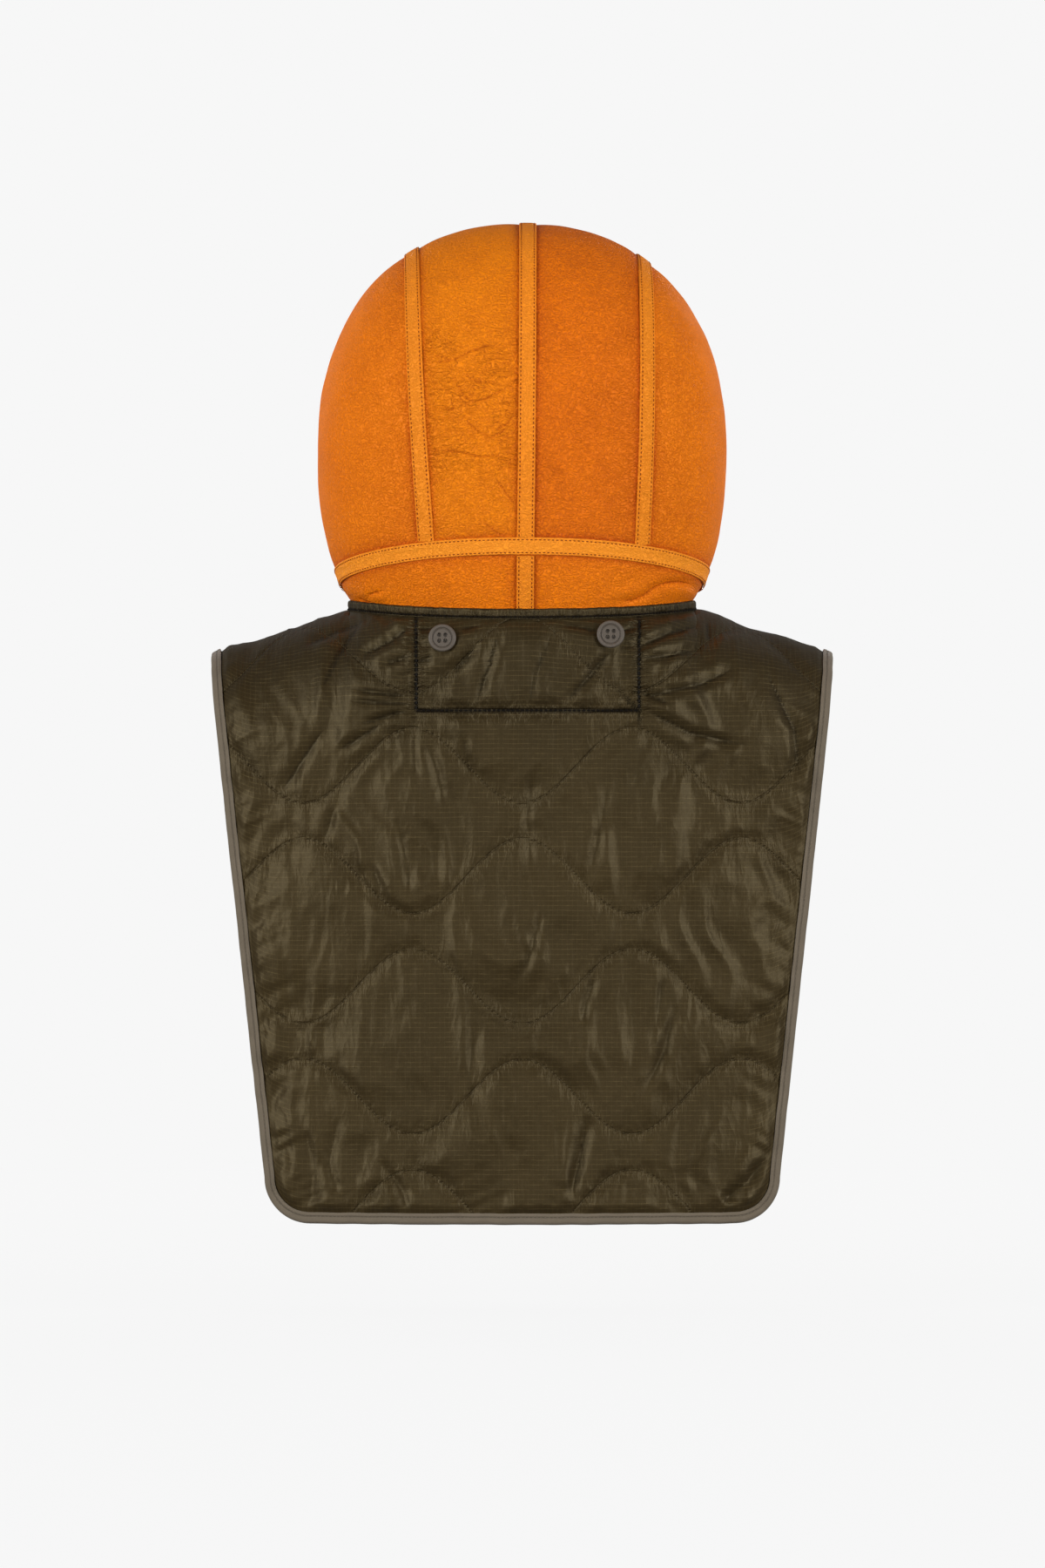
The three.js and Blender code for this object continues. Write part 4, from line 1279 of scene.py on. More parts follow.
    def wrinkle_mask(self, grid: Array, kind: str, side: Side) -> Array:
        """How wrinkled the leather is from place to place, from 0 to 1: most in the back-left panel."""
        seen = self.camera.seen(grid)
        cloud = 0.5 + 0.5 * noise(grid, 30 * MM, 7)
        if kind == "crown" and side is Side.LEFT:
            band = smooth_step(0.085, 0.115, seen[..., 1]) * smooth_step(0.215, 0.185, seen[..., 1])
            return np.clip(0.25 + 0.75 * band * (0.5 + cloud), 0, 1)
        if kind == "crown":
            return 0.1 + 0.35 * cloud
        if kind == "side":
            beside = np.exp(-np.abs(np.abs(seen[..., 0]) - 0.090) / 0.022)
            return np.clip(0.08 + 0.5 * beside * cloud * smooth_step(0.02, 0.06, seen[..., 1]), 0, 1)
        return 0.1 + 0.2 * cloud

    def tape_profile(self) -> tuple[Array, Array]:
        """The tape's top across its width: level, with rounded edges and a groove under each stitch row."""
        half = self.tape_width / 2
        share = np.sin(np.linspace(-math.pi / 2, math.pi / 2, 22))
        across = half * np.sign(share) * np.abs(share) ** 0.85
        edge = (1 - np.abs(across / half) ** 14) ** 0.5
        row = half - self.stitch_inset
        groove = bell(np.abs(across) - row, 0.55 * MM)
        return across, self.tape_thick * (0.15 + 0.85 * edge) - 0.42 * MM * groove

    def add_tape(self, name: str, path: Array, normals: Array, one: Array, other: Array, fold: bool) -> Rows:
        """Adds a tape along a seam.

        Args:
            name: the piece's name.
            path: seam points.
            normals: outward directions there.
            one: unit directions along the leather to one side.
            other: unit directions to the other side.
            fold: puts the tape's points on the hood's form.

        Returns:
            The places and directions of its two rows of stitches.
        """
        across, top = self.tape_profile()

        def strip(offsets: Array, heights: Array) -> Array:
            """Grid of points over the seam at offsets across and heights above the leather."""
            towards = np.where((offsets < 0)[None, :, None], one[:, None], other[:, None])
            grid = path[:, None] + towards * np.abs(offsets)[None, :, None]
            if fold:
                grid = self.form.project(grid)
            wave = 0.12 * MM * noise(grid, 17 * MM, 31) + 0.05 * MM * noise(grid, 5 * MM, 33)
            return grid + normals[:, None] * (heights[None, :] + wave)[..., None]

        row = self.tape_width / 2 - self.stitch_inset
        outer = strip(across, self.tape_lift + top)
        inner = strip(across, np.full(across.shape, self.tape_lift * 0.4))
        flat = {
            # crease on a tape is the distance from its stitch rows, so the leather's finish paints shade in
            # the grooves there.
            "crease": np.repeat(np.abs(np.abs(across) - row)[None, :], len(path), axis=0) + 0.9 * MM,
            "wrinkle": 0.12 + 0.3 * np.clip(noise(outer, 20 * MM, 37), 0, 1),
            "seam": np.ones((len(path), len(across))),
        }
        flat = {key: both_faces(a, self.keep) for key, a in flat.items()}
        leather = self.materials["leather_nape_tape" if name == "tape_nape" else "leather_tape"]
        tape = make_piece(name, shell(outer, inner, self.keep), leather, (name,), flat)
        cut_from(inner)
        height = np.array([self.tape_lift + self.tape_thick - 0.2 * MM])
        return [(strip(np.array([place]), height)[:, 0], normals) for place in (-row, row)]

    def add_tapes(self) -> None:
        """Adds the tapes over the crown seams, round the nape and down the neck, with their stitches."""
        form = self.form
        rows = []
        covered = {
            "left": ["crown_panel_left", "side_panel_left"],
            "centre": ["crown_panel_left", "crown_panel_right"],
            "right": ["crown_panel_right", "side_panel_right"],
        }
        for name, covers in covered.items():
            length = run_length(form.seam_run(name, np.linspace(0, 1, 200))[None], 1)[0, -1]
            start = (self.tape_width / 2 + 0.2 * MM) / length
            path = form.seam_run(name, np.linspace(start, 1, snapped(length / (2 * MM), self.keep)))
            normals = form.normal(path)
            lateral = unit(np.cross(np.gradient(path, axis=0), normals))
            rows += self.add_tape(f"tape_{name}", path, normals, -lateral, lateral, True)

        face = form.face_azimuth()
        azimuths = np.linspace(-face, face, snapped(260, self.keep))
        path = form.nape_point(azimuths)
        normals = form.normal(path)
        along = unit(np.gradient(path, axis=0))
        above = unit(np.cross(normals, along))
        above *= np.sign(above[:, 2:])
        below = self.neck_slope(path, self.hole.point(azimuths), 0.14) - path
        covers = [f"{word}_{side.label}" for word, _ in PANELS.values() for side in Side]
        rows += self.add_tape("tape_nape", path, normals, unit(below), above, False)

        grid = self.neck_grid(Side.RIGHT, 1.2 * MM)
        rise = run_length(grid, 0)[:, 0]
        shown = np.flatnonzero((rise > self.tape_width / 2 + 0.2 * MM) & (rise < rise[-1] - 5 * MM))
        shown = shown[: snapped(len(shown) - self.keep, self.keep)]
        path = grid[shown, 0]
        normals = self.panel_normals(grid, "neck")[shown, 0]
        lateral = unit(np.cross(np.gradient(path, axis=0), normals))
        covers = ["neck_band_left", "neck_band_right"]
        rows += self.add_tape("tape_neck", path, normals, -lateral, lateral, False)
        thread = Stitches(self.materials["seam_thread"], "leather_tape")
        thread.add("tape_stitches", rows, self.stitch_pitch, 0.62, 0.4 * MM)


@dataclass
class Stitches:
    """Rows of stitches: each stitch a short bent thread whose ends dive into the cloth."""

    material: bpy.types.Material
    slot: str
    sides: int = 4

    def add(self, name: str, rows: Rows, pitch: float, share: float, radius: float) -> None:
        """Adds one piece that holds all the stitches of some rows.

        A stitch is a tube of five rings along a shallow arch; its rings narrow to the ends.

        Args:
            name: the piece's name.
            rows: for each row its points and the cloth's outward directions there.
            pitch: from one stitch to the next.
            share: how much of the pitch a stitch covers.
            radius: the thread's radius.
        """
        at = np.array([-1, -0.72, 0, 0.72, 1])
        width = np.array([0.35, 0.9, 1, 0.9, 0.35])
        sink = np.array([-1.5, -0.35, 0, -0.35, -1.5])
        turn = np.linspace(0, 2 * math.pi, self.sides, endpoint=False)
        vertices, faces, total = [], [], 0
        size = len(at) * self.sides
        ring_index = np.arange(size).reshape(len(at), self.sides)
        around = np.concatenate([ring_index, ring_index[:, :1]], axis=1)
        local = quads(around)
        caps = np.stack([ring_index[0], ring_index[-1, ::-1]])
        for line, normals in rows:
            length = run_length(line[None], 1)[0]
            centres = np.arange(pitch / 2, length[-1] - pitch / 2, pitch)
            place, up, along = (
                joined(*(np.interp(centres, length, part) for part in values.T))
                for values in (line, normals, np.gradient(line, axis=0))
            )
            up, along = unit(up), unit(along)
            beside = unit(np.cross(along, up))
            x = (at * pitch * share / 2)[None, :, None, None] * along[:, None, None, :]
            y = (width[:, None] * radius * np.cos(turn)[None])[None, :, :, None] * beside[:, None, None, :]
            z = ((sink[:, None] + width[:, None] * np.sin(turn)[None]) * radius)[None, :, :, None]
            vertices.append((place[:, None, None, :] + x + y + z * up[:, None, None, :]).reshape(-1, 3))
            starts = total + np.arange(len(centres)) * size
            faces += (starts[:, None, None] + local[None]).reshape(-1, 4).tolist()
            faces += (starts[:, None, None] + caps[None]).reshape(-1, self.sides).tolist()
            total += len(centres) * size
        make_piece(name, (np.concatenate(vertices), faces), self.material)


# The bib


BOX_CREASES = (
    Crease(((-0.0175, -0.022), (-0.0235, -0.044), (-0.0318, -0.0686)), 1.5 * MM, 3.2 * MM),
    Crease(((-0.0487, -0.0492), (-0.0342, -0.032)), 0.9 * MM, 2.6 * MM),
    Crease(((-0.0745, -0.0405), (-0.0680, -0.0395), (-0.0640, -0.0365)), 0.8 * MM, 2.4 * MM),
    Crease(((-0.0440, -0.0195), (-0.0300, -0.0150)), 0.9 * MM, 2.6 * MM),
    Crease(((-0.0738, -0.0200), (-0.0640, -0.0165)), 0.8 * MM, 2.4 * MM),
    Crease(((0.0545, -0.0205), (0.0410, -0.0170), (0.0300, -0.0150)), 1.0 * MM, 2.8 * MM),
    Crease(((0.0715, -0.0190), (0.0800, -0.0175)), 0.8 * MM, 2.4 * MM),
    Crease(((0.0640, -0.0330), (0.0480, -0.0520), (0.0330, -0.0680)), 1.0 * MM, 3.2 * MM),
    Crease(((0.0200, -0.0250), (0.0100, -0.0480), (0.0060, -0.0700)), 0.9 * MM, 3.4 * MM),
)
SHOULDER_CREASES = (
    Crease(((-0.0791, -0.0159), (-0.0933, -0.0254), (-0.1140, -0.0365)), 1.2 * MM, 2.8 * MM),
    Crease(((-0.0791, -0.0365), (-0.0981, -0.0429)), 1.0 * MM, 2.6 * MM),
    Crease(((-0.1127, -0.0111), (-0.1362, -0.0206), (-0.1553, -0.0302)), 1.0 * MM, 3.4 * MM),
    Crease(((0.0848, -0.0295), (0.1040, -0.0215), (0.1248, -0.0162)), 1.2 * MM, 2.8 * MM),
    Crease(((0.0848, -0.0390), (0.1040, -0.0370), (0.1248, -0.0321)), 1.0 * MM, 2.6 * MM),
    Crease(((0.0848, -0.0619), (0.0940, -0.0670), (0.1045, -0.0708)), 1.1 * MM, 2.6 * MM),
    Crease(((-0.1187, -0.0613), (-0.0813, -0.0662)), 0.9 * MM, 2.6 * MM),
    Crease(((-0.1210, -0.0690), (-0.0815, -0.0715)), 0.8 * MM, 2.4 * MM),
    Crease(((-0.1140, -0.0854), (-0.0825, -0.0759)), 0.9 * MM, 2.6 * MM),
    Crease(((-0.1308, -0.1048), (-0.0994, -0.0854)), 1.0 * MM, 3.2 * MM),
    Crease(((-0.1718, -0.1337), (-0.1429, -0.0903)), 1.1 * MM, 4.2 * MM),
    Crease(((-0.1150, -0.0120), (-0.1320, -0.0370), (-0.1420, -0.0600)), 0.4 * MM, 4.0 * MM),
    Crease(((0.0880, -0.0660), (0.1250, -0.0580), (0.1500, -0.0480)), 1.0 * MM, 3.4 * MM),
    Crease(((0.0880, -0.0760), (0.1200, -0.0920), (0.1600, -0.1010)), 1.1 * MM, 3.4 * MM),
    Crease(((0.1330, -0.0140), (0.1345, -0.0260)), 0.4 * MM, 2.4 * MM),
    Crease(((0.1750, -0.0500), (0.1950, -0.0900), (0.1980, -0.1200)), 1.0 * MM, 4.0 * MM),
)
HANGING_CREASES = (
    Crease(((-0.0778, -0.0903), (-0.0752, -0.1240)), 1.0 * MM, 3.0 * MM),
    Crease(((-0.0680, -0.1000), (-0.0600, -0.1200), (-0.0560, -0.1430)), 1.1 * MM, 3.4 * MM),
    Crease(((-0.0416, -0.0950), (-0.0366, -0.1240)), 0.9 * MM, 3.0 * MM),
    Crease(((-0.1067, -0.1890), (-0.0994, -0.2060)), 1.1 * MM, 2.8 * MM),
    Crease(((-0.0873, -0.1578), (-0.0830, -0.1830), (-0.0800, -0.2060)), 1.0 * MM, 3.2 * MM),
    Crease(((-0.1330, -0.1430), (-0.1429, -0.1720)), 0.9 * MM, 3.0 * MM),
    Crease(((0.0133, -0.2190), (0.0080, -0.2450), (-0.0012, -0.2676)), 1.1 * MM, 3.4 * MM),
    Crease(((0.0519, -0.2650), (0.0422, -0.3010)), 1.0 * MM, 3.0 * MM),
    Crease(((0.1000, -0.2676), (0.0954, -0.3060)), 1.0 * MM, 3.0 * MM),
    Crease(((0.1099, -0.2890), (0.1020, -0.3200), (0.0880, -0.3470)), 1.2 * MM, 3.4 * MM),
    Crease(((0.0458, -0.3710), (0.0410, -0.4000), (0.0350, -0.4220)), 1.6 * MM, 3.4 * MM),
    Crease(((0.1388, -0.4317), (0.1600, -0.4150), (0.1775, -0.3930)), 1.4 * MM, 4.0 * MM),
    Crease(((0.0080, -0.1200), (0.0040, -0.1500), (0.0060, -0.1900)), 1.0 * MM, 4.0 * MM),
    Crease(((0.0620, -0.1280), (0.0560, -0.1600), (0.0480, -0.1950)), 1.0 * MM, 4.0 * MM),
    Crease(((-0.0340, -0.3050), (-0.0380, -0.3400), (-0.0330, -0.3700)), 0.9 * MM, 4.0 * MM),
    Crease(((-0.1320, -0.3700), (-0.1380, -0.4000), (-0.1300, -0.4250)), 1.0 * MM, 4.0 * MM),
    Crease(((-0.1000, -0.4000), (-0.0860, -0.4200), (-0.0820, -0.4330)), 1.1 * MM, 3.4 * MM),
)


@dataclass
class Quilting:
    """Rows of wave stitches in opposite phase, and on the back a stitched box under the neckline."""

    wavelength: float = 0.1567
    swing: float = 0.0268
    pitch: float = 0.079
    first: float = -0.0363
    rows: int = 6
    shoulder_drop: float = 7.5 * MM
    box_left: float = -0.0756
    box_right: float = 0.0835
    box_bottom: float = -0.076
    faint: float = 1.3 * MM

    def height(self, row: int, x: Array) -> Array:
        """Height of a row at x: a cosine about the row's level, turned over in every second row.

        The top row sinks a little where it runs over the shoulders.
        """
        phase = 1 if row % 2 == 0 else -1
        sunk = self.shoulder_drop * smooth_step(0.08, 0.155, np.abs(x)) if row == 0 else 0
        wave = self.swing * np.cos(2 * math.pi * x / self.wavelength)
        return self.first - row * self.pitch + phase * wave - sunk

    def field(self, x: Array, z: Array, facing: Facing) -> dict[str, Array]:
        """Distances to the stitches.

        Args:
            x: across the bib.
            z: height from the neckline.
            facing: which panel.

        Returns:
            The distance from any stitches, from a wave and from the box, and the place along the box.
        """
        slope = 2 * math.pi * self.swing / self.wavelength * np.sin(2 * math.pi * x / self.wavelength)
        wave = np.full(x.shape, 1.0)
        for row in range(self.rows):
            wave = np.minimum(wave, np.abs(z - self.height(row, x)) / np.hypot(1, slope))
        box = np.full(x.shape, 1.0)
        along = z
        if facing is Facing.BACK:
            below = np.maximum(0, self.box_bottom - z)
            beside = np.maximum(0, np.maximum(self.box_left - x, x - self.box_right))
            for side in (self.box_left, self.box_right):
                box = np.minimum(box, np.hypot(x - side, below))
            bottom = np.hypot(z - self.box_bottom, beside)
            along = np.where(bottom < box, x, z)
            box = np.minimum(box, bottom)
        return {"away": np.minimum(wave, box), "wave": wave, "box": box, "along": along}

    def folds(self, x: Array, z: Array, facing: Facing) -> tuple[Array, Array]:
        """Height of the drawn folds, which only the back has, and the distance to the nearest.

        The hanging folds count as a little further off, so that their painted shade is fainter.
        """
        if facing is Facing.FRONT:
            return np.zeros(x.shape), np.ones(x.shape)
        seen = joined(x, z)
        firm, near = drawn_relief(seen, BOX_CREASES + SHOULDER_CREASES)
        hanging, far = drawn_relief(seen, HANGING_CREASES)
        return firm + hanging, np.minimum(near, far + self.faint)


# Blender's own names for how the simulated nylon behaves.
CLOTH_SETTINGS = {
    "quality": 6,
    "mass": 0.15,
    "tension_stiffness": 12,
    "compression_stiffness": 10,
    "shear_stiffness": 4,
    "bending_stiffness": 0.05,
    "air_damping": 3,
    "vertex_group_mass": "held",
    "use_pressure": True,
    "uniform_pressure_force": 2.2,
}


@dataclass
class Bib:
    """The quilted bib: two padded panels, the band round the neck, and the bound outer edge."""

    camera: Camera
    hole: NeckHole = field(default_factory=NeckHole)
    quilting: Quilting = field(default_factory=Quilting)
    middle_back: float = 0.112
    middle_front: float = 0.118
    bend: float = 0.600
    turn: float = 0.072
    seat: float = 2.6 * MM
    below_edge: float = 7.2 * MM
    shoulder_slope: float = 0.33
    half_width: float = 0.2265
    width_at: float = -0.0325
    taper: float = 0.1088
    hem: float = -0.444
    corner: float = 0.031
    binding_over: float = 2 * MM
    binding_cover: float = 6.2 * MM
    shoulder_gap: float = 0.15 * MM
    at_stitch: float = 0.9 * MM
    swell: float = 3.4 * MM
    reach: float = 10 * MM
    rows: int = 213
    columns: int = 225
    keep: int = 2
    sim_rows: int = 130
    sim_columns: int = 140
    sim_frames: int = 20
    most_moved: float = 6.5 * MM
    finishes: tuple[Finish, ...] = (
        RipstopNylon(),
        BindingCloth(),
        Plain("quilting_thread", (92, 80, 54), (66, 56, 36), 0.6),
        Plain("black_thread", (24, 19, 13), (14, 11, 8), 0.7),
    )
    materials: dict[str, bpy.types.Material] = field(default_factory=dict)
    faces: dict[Facing, tuple[Array, Array]] = field(default_factory=dict)

    def build(self) -> None:
        """Makes the finishes and then every piece of the bib."""
        self.materials = {finish.name: finish.build() for finish in self.finishes}
        for facing in Facing:
            self.add_panel(facing)
            self.add_binding(facing)
            self.add_stitches(facing)
        self.add_neck_edge()

    def neck_half(self) -> float:
        """Half width of the hole that the panels leave for the neck."""
        return self.hole.half_width + self.seat

    def neckline(self, x: Array, facing: Facing) -> Array:
        """Depth of the neck hole at x."""
        depth = (self.hole.back if facing is Facing.BACK else self.hole.front) + self.seat
        share = np.minimum(1, np.abs(x) / self.neck_half())
        return depth * np.maximum(0, 1 - share ** self.hole.power) ** (1 / self.hole.power)

    def middle(self, x: Array, facing: Facing) -> Array:
        """Depth of the hanging part of a panel, bent round the body as a parabola."""
        return (self.middle_back if facing is Facing.BACK else self.middle_front) - x ** 2 / (2 * self.bend)

    def top_edge(self, x: Array, facing: Facing) -> Array:
        """Height of a panel's upper edge: below the neck band, and falling along the shoulder."""
        fall = self.shoulder_slope * np.maximum(0, np.abs(x) - self.neck_half())
        return self.hole.height(facing.value * self.neckline(x, facing)) - self.below_edge - fall

    def turned(self, x: Array, z: Array, facing: Facing) -> Array:
        """How far a panel has turned down from the shoulder, 0 to 1."""
        middle = self.middle(x, facing)
        start = 1 - np.sqrt(np.maximum(0, 1 - (self.neckline(x, facing) / middle) ** 2))
        return start + (self.top_edge(x, facing) - z) / self.turn

    def surface(self, x: Array, z: Array, facing: Facing) -> Array:
        """Points of a panel's middle surface: an elliptic turn over the shoulder, then straight down."""
        rest = np.clip(1 - self.turned(x, z, facing), 0, 1)
        y = self.middle(x, facing) * np.sqrt(1 - rest ** 2) + self.shoulder_gap
        return joined(x, facing.value * y, z)

    def outward(self, facing: Facing) -> Array:
        """A direction that a panel's outer face looks towards, up and away from the body."""
        return np.array([0, facing.value, 0.6])

    def edge(self, z: Array) -> Array:
        """Half width of a panel at a height, without its rounded corners."""
        return self.half_width + self.taper * (z - self.width_at) - self.binding_over

    def corner_height(self) -> float:
        """Height at which the rounded corners start."""
        return self.hem + self.binding_over + self.corner

    def lower_edge(self, x: Array) -> Array:
        """Height of the hem: level, with a quarter circle at each end."""
        start = self.edge(self.corner_height()) - self.corner
        past = np.clip(np.abs(x) - start, 0, self.corner)
        return self.corner_height() - np.sqrt(self.corner ** 2 - past ** 2)

    def plan(self, rows: int, columns: int, facing: Facing) -> tuple[Array, Array]:
        """X and height of a panel's grid.

        Columns stand closer together at the ends of the neck hole on the top edge, and evenly below it.

        Args:
            rows: number of rows.
            columns: number of columns.
            facing: which panel.

        Returns:
            Two arrays of rows by columns.
        """
        u = np.linspace(-1, 1, columns)[None, :]
        v = np.linspace(0, 1, rows)[:, None]
        spread = self.spread_columns(u, v)
        z = np.full((rows, columns), -0.1)
        for _ in range(12):
            x = spread * self.edge(z)
            z = mix(self.top_edge(x, facing), self.lower_edge(x), v)
        return x, z

    def spread_columns(self, u: Array, v: Array) -> Array:
        """Shares of the half width at column and row shares: set by the neck hole on top, even below."""
        outer = self.edge(np.array(self.width_at))
        share = self.neck_half() / outer
        inside = share * np.sin(np.clip(np.abs(u) / share, 0, 1) * math.pi / 2) ** (2 / self.hole.power)
        beyond = mix(share, 1.0, np.clip((np.abs(u) - share) / (1 - share), 0, 1))
        top = np.sign(u) * np.where(np.abs(u) < share, inside, beyond)
        return mix(top, u, smooth_step(0, 0.2, v))

    def on_face(self, x: Array, z: Array, facing: Facing, lift: float) -> tuple[Array, Array]:
        """Points over a panel's outer face and its outward directions.

        The plan is undone to find the rows and columns, and the grid is blended there.

        Args:
            x: across the bib.
            z: height from the neckline.
            facing: which panel.
            lift: how far over the cloth.

        Returns:
            Points and directions.
        """
        top = self.top_edge(x, facing)
        v = (top - z) / (top - self.lower_edge(x))
        wanted = x / self.edge(z)
        ends = np.full(x.shape, 1.0)
        u = zero_of(lambda u: self.spread_columns(u, v) - wanted, -ends, ends)
        row, column = v * (self.rows - 1), (u + 1) / 2 * (self.columns - 1)
        outer, normals = (blended(grid, row, column) for grid in self.faces[facing])
        return outer + unit(normals) * lift, unit(normals)

    def padding(self, x: Array, z: Array, stitches: dict[str, Array], facing: Facing) -> Array:
        """Half thickness: thin at the stitches, at the neck seam and at the bound edge, and full between."""
        full = self.at_stitch + self.swell * (1 - np.exp(-stitches["away"] / self.reach))
        full = mix(0.9 * MM, full, self.free_of_neck(x, z, facing, 10 * MM))
        return mix(1.2 * MM, full, smooth_step(0, 14 * MM, self.border_distance(x, z)))

    def free_of_neck(self, x: Array, z: Array, facing: Facing, reach: float) -> Array:
        """0 at the seam under the neck edge, 1 further than a reach below it and beside the neck."""
        beside = smooth_step(self.neck_half() - 4 * MM, self.neck_half() + 8 * MM, np.abs(x))
        return np.maximum(beside, smooth_step(1 * MM, reach, self.top_edge(x, facing) - z))

    def border_distance(self, x: Array, z: Array) -> Array:
        """Distance to the bound edge at the sides and the hem, with the corners rounded."""
        to_side = self.edge(z) - np.abs(x)
        to_hem = z - (self.hem + self.binding_over)
        in_corner = (to_side < self.corner) & (to_hem < self.corner)
        rounded = self.corner - np.hypot(self.corner - to_side, self.corner - to_hem)
        return np.maximum(0, np.where(in_corner, rounded, np.minimum(to_side, to_hem)))

    def simulate(self, facing: Facing) -> Array:
        """Cloth simulation of a panel's outer face: more cloth than room, held at the stitches, pushed out.

        Args:
            facing: which panel.

        Returns:
            How far each point of the coarse grid has moved, with long moves held back.
        """
        x, z = self.plan(self.sim_rows, self.sim_columns, facing)
        base = self.surface(x, z, facing)
        normals = grid_normals(base, self.outward(facing))
        stitches = self.quilting.field(x, z, facing)
        base = base + normals * (self.at_stitch + 0.25 * MM * noise(base, 9 * MM, 3))[..., None]
        index = np.arange(x.size).reshape(x.shape)
        mesh = bpy.data.meshes.new("cloth")
        mesh.from_pydata(base.reshape(-1, 3), [], facing_up(base, quads(index), normals).tolist())
        cloth = bpy.data.objects.new("cloth", mesh)
        bpy.context.scene.collection.objects.link(cloth)
        cloth.shape_key_add(name="held")
        slack = cloth.shape_key_add(name="slack")
        roomy = base * np.array([1.05, 1.0, 1.025])
        slack.data.foreach_set("co", roomy.ravel().astype(np.float32))
        held = (stitches["away"] < 2.4 * MM) | (self.border_distance(x, z) < 6 * MM)
        held[[0, -1]] = True
        group = cloth.vertex_groups.new(name="held")
        group.add(index[held].tolist(), 1.0, "REPLACE")
        modifier = cloth.modifiers.new("cloth", "CLOTH")
        for key, value in CLOTH_SETTINGS.items():
            setattr(modifier.settings, key, value)
        modifier.settings.rest_shape_key = slack
        modifier.settings.effector_weights.gravity = 0
        modifier.collision_settings.use_collision = False
        modifier.point_cache.frame_start = 1
        modifier.point_cache.frame_end = self.sim_frames
        for number in range(1, self.sim_frames + 1):
            bpy.context.scene.frame_set(number)
        solved = cloth.evaluated_get(bpy.context.evaluated_depsgraph_get()).to_mesh()
        moved = np.zeros(len(solved.vertices) * 3, np.float32)
        solved.vertices.foreach_get("co", moved)
        bpy.data.objects.remove(cloth)
        bpy.context.scene.frame_set(1)
        move = moved.reshape(base.shape).astype(float) - base
        size = np.linalg.norm(move, axis=-1, keepdims=True)
        return move * (self.most_moved * np.tanh(size / self.most_moved) / np.maximum(size, 1e-9))

    def add_panel(self, facing: Facing) -> None:
        """Adds a padded panel: its outer face simulated and then quilted, its inner face plain quilting."""
        x, z = self.plan(self.rows, self.columns, facing)
        base = self.surface(x, z, facing)
        normals = grid_normals(base, self.outward(facing))
        stitches = self.quilting.field(x, z, facing)
        drawn, fold = self.quilting.folds(x, z, facing)
        border = self.border_distance(x, z)
        half = self.padding(x, z, stitches, facing)
        loose = smooth_step(0.5 * MM, 5 * MM, stitches["away"]) * smooth_step(3 * MM, 9 * MM, border)
        loose = loose * self.free_of_neck(x, z, facing, 8 * MM)
        move = resampled(self.simulate(facing), self.rows, self.columns)
        outer = base + normals * self.at_stitch + move * loose[..., None]
        outer += normals * (0.45 * (half - self.at_stitch))[..., None]
        rise = self.cloth_relief(x, z, stitches, border, facing) + 1.9 * self.edge_clear(border) * drawn
        outer += normals * (rise * self.free_of_neck(x, z, facing, 5 * MM))[..., None]
        inner = base - normals * half[..., None]
        fabric = joined(x, -run_length(base[::-1], 0)[::-1])
        # wave, box and fold are the distances from which the nylon's finish paints shade along the stitches
        # and in the drawn folds.
        values = {key: stitches[key] for key in ("wave", "box", "along")} | {"fold": fold}
        values = {key: both_faces(a, self.keep) for key, a in values.items()}
        name, slot = f"bib_{facing.label}", "quilted_nylon"
        fabric = both_faces(fabric, self.keep)
        mesh_parts = shell(outer, inner, self.keep)
        piece = make_piece(name, mesh_parts, self.materials[slot], (name,), values, fabric)
        self.faces[facing] = (outer, normals)

    def edge_clear(self, border: Array) -> Array:
        """0 under the binding, 1 further in, from the distance to the bound edge."""
        return smooth_step(self.binding_cover - 1 * MM, 2 * self.binding_cover, border)

    def cloth_relief(self, x: Array, z: Array, stitches: dict[str, Array], border: Array,
                     facing: Facing) -> Array:
        """Height added over the simulated face.

        It is the sum of slow billows, hanging folds that are sharp ridges of a stretched and swirled noise,
        and puckers that run off the wave stitches, the box, the neck seam and the binding.

        Args:
            x: across the bib.
            z: height from the neckline.
            stitches: distances to the stitches.
            border: distance to the bound edge.
            facing: which panel.

        Returns:
            One height a point.
        """
        away, wave, box = stitches["away"], stitches["wave"], stitches["box"]
        gap = self.top_edge(x, facing) - z
        clear = self.edge_clear(border)
        hung = 0.45 + 0.55 * smooth_step(0, 30 * MM, gap)
        loose = smooth_step(0, 9 * MM, away) * clear * hung
        flat = joined(x, z, 0)
        sway = joined(14 * MM * noise(flat, 45 * MM, 71), 16 * MM * noise(flat, 60 * MM, 73), 0)
        hanging = ridges(flat + sway, (19 * MM, 60 * MM, 1), 75)
        finer = ridges(flat + sway, (10 * MM, 30 * MM, 1), 77)
        height = loose * (2.2 * MM * noise(flat, 36 * MM, 79) + 1.7 * MM * hanging + 0.6 * MM * finer)
        puckers = ridges(joined(x, wave * 0.3, 0), 7.5 * MM, 43)
        height += 0.8 * MM * puckers * np.exp(-wave / (10 * MM)) * smooth_step(0, 3 * MM, away) * clear
        crimped = ridges(joined(stitches["along"], box * 0.3, 0), 7 * MM, 44) - 0.4
        height += 1.5 * MM * crimped * np.exp(-box / (8 * MM)) * smooth_step(0, 2.5 * MM, box)
        under = ridges(joined(x, 0.3 * gap, 0), 8 * MM, 46)
        inside = smooth_step(self.neck_half() + 6 * MM, self.neck_half() - 6 * MM, np.abs(x))
        height += 1.3 * MM * under * inside * smooth_step(0, 5 * MM, gap) * np.exp(-gap / (14 * MM))
        place = joined(z + 0.5 * np.abs(x), border * 0.35, 0)
        gathers = ridges(place, 9 * MM, 41) + 0.5 * noise(place, 5 * MM, 42)
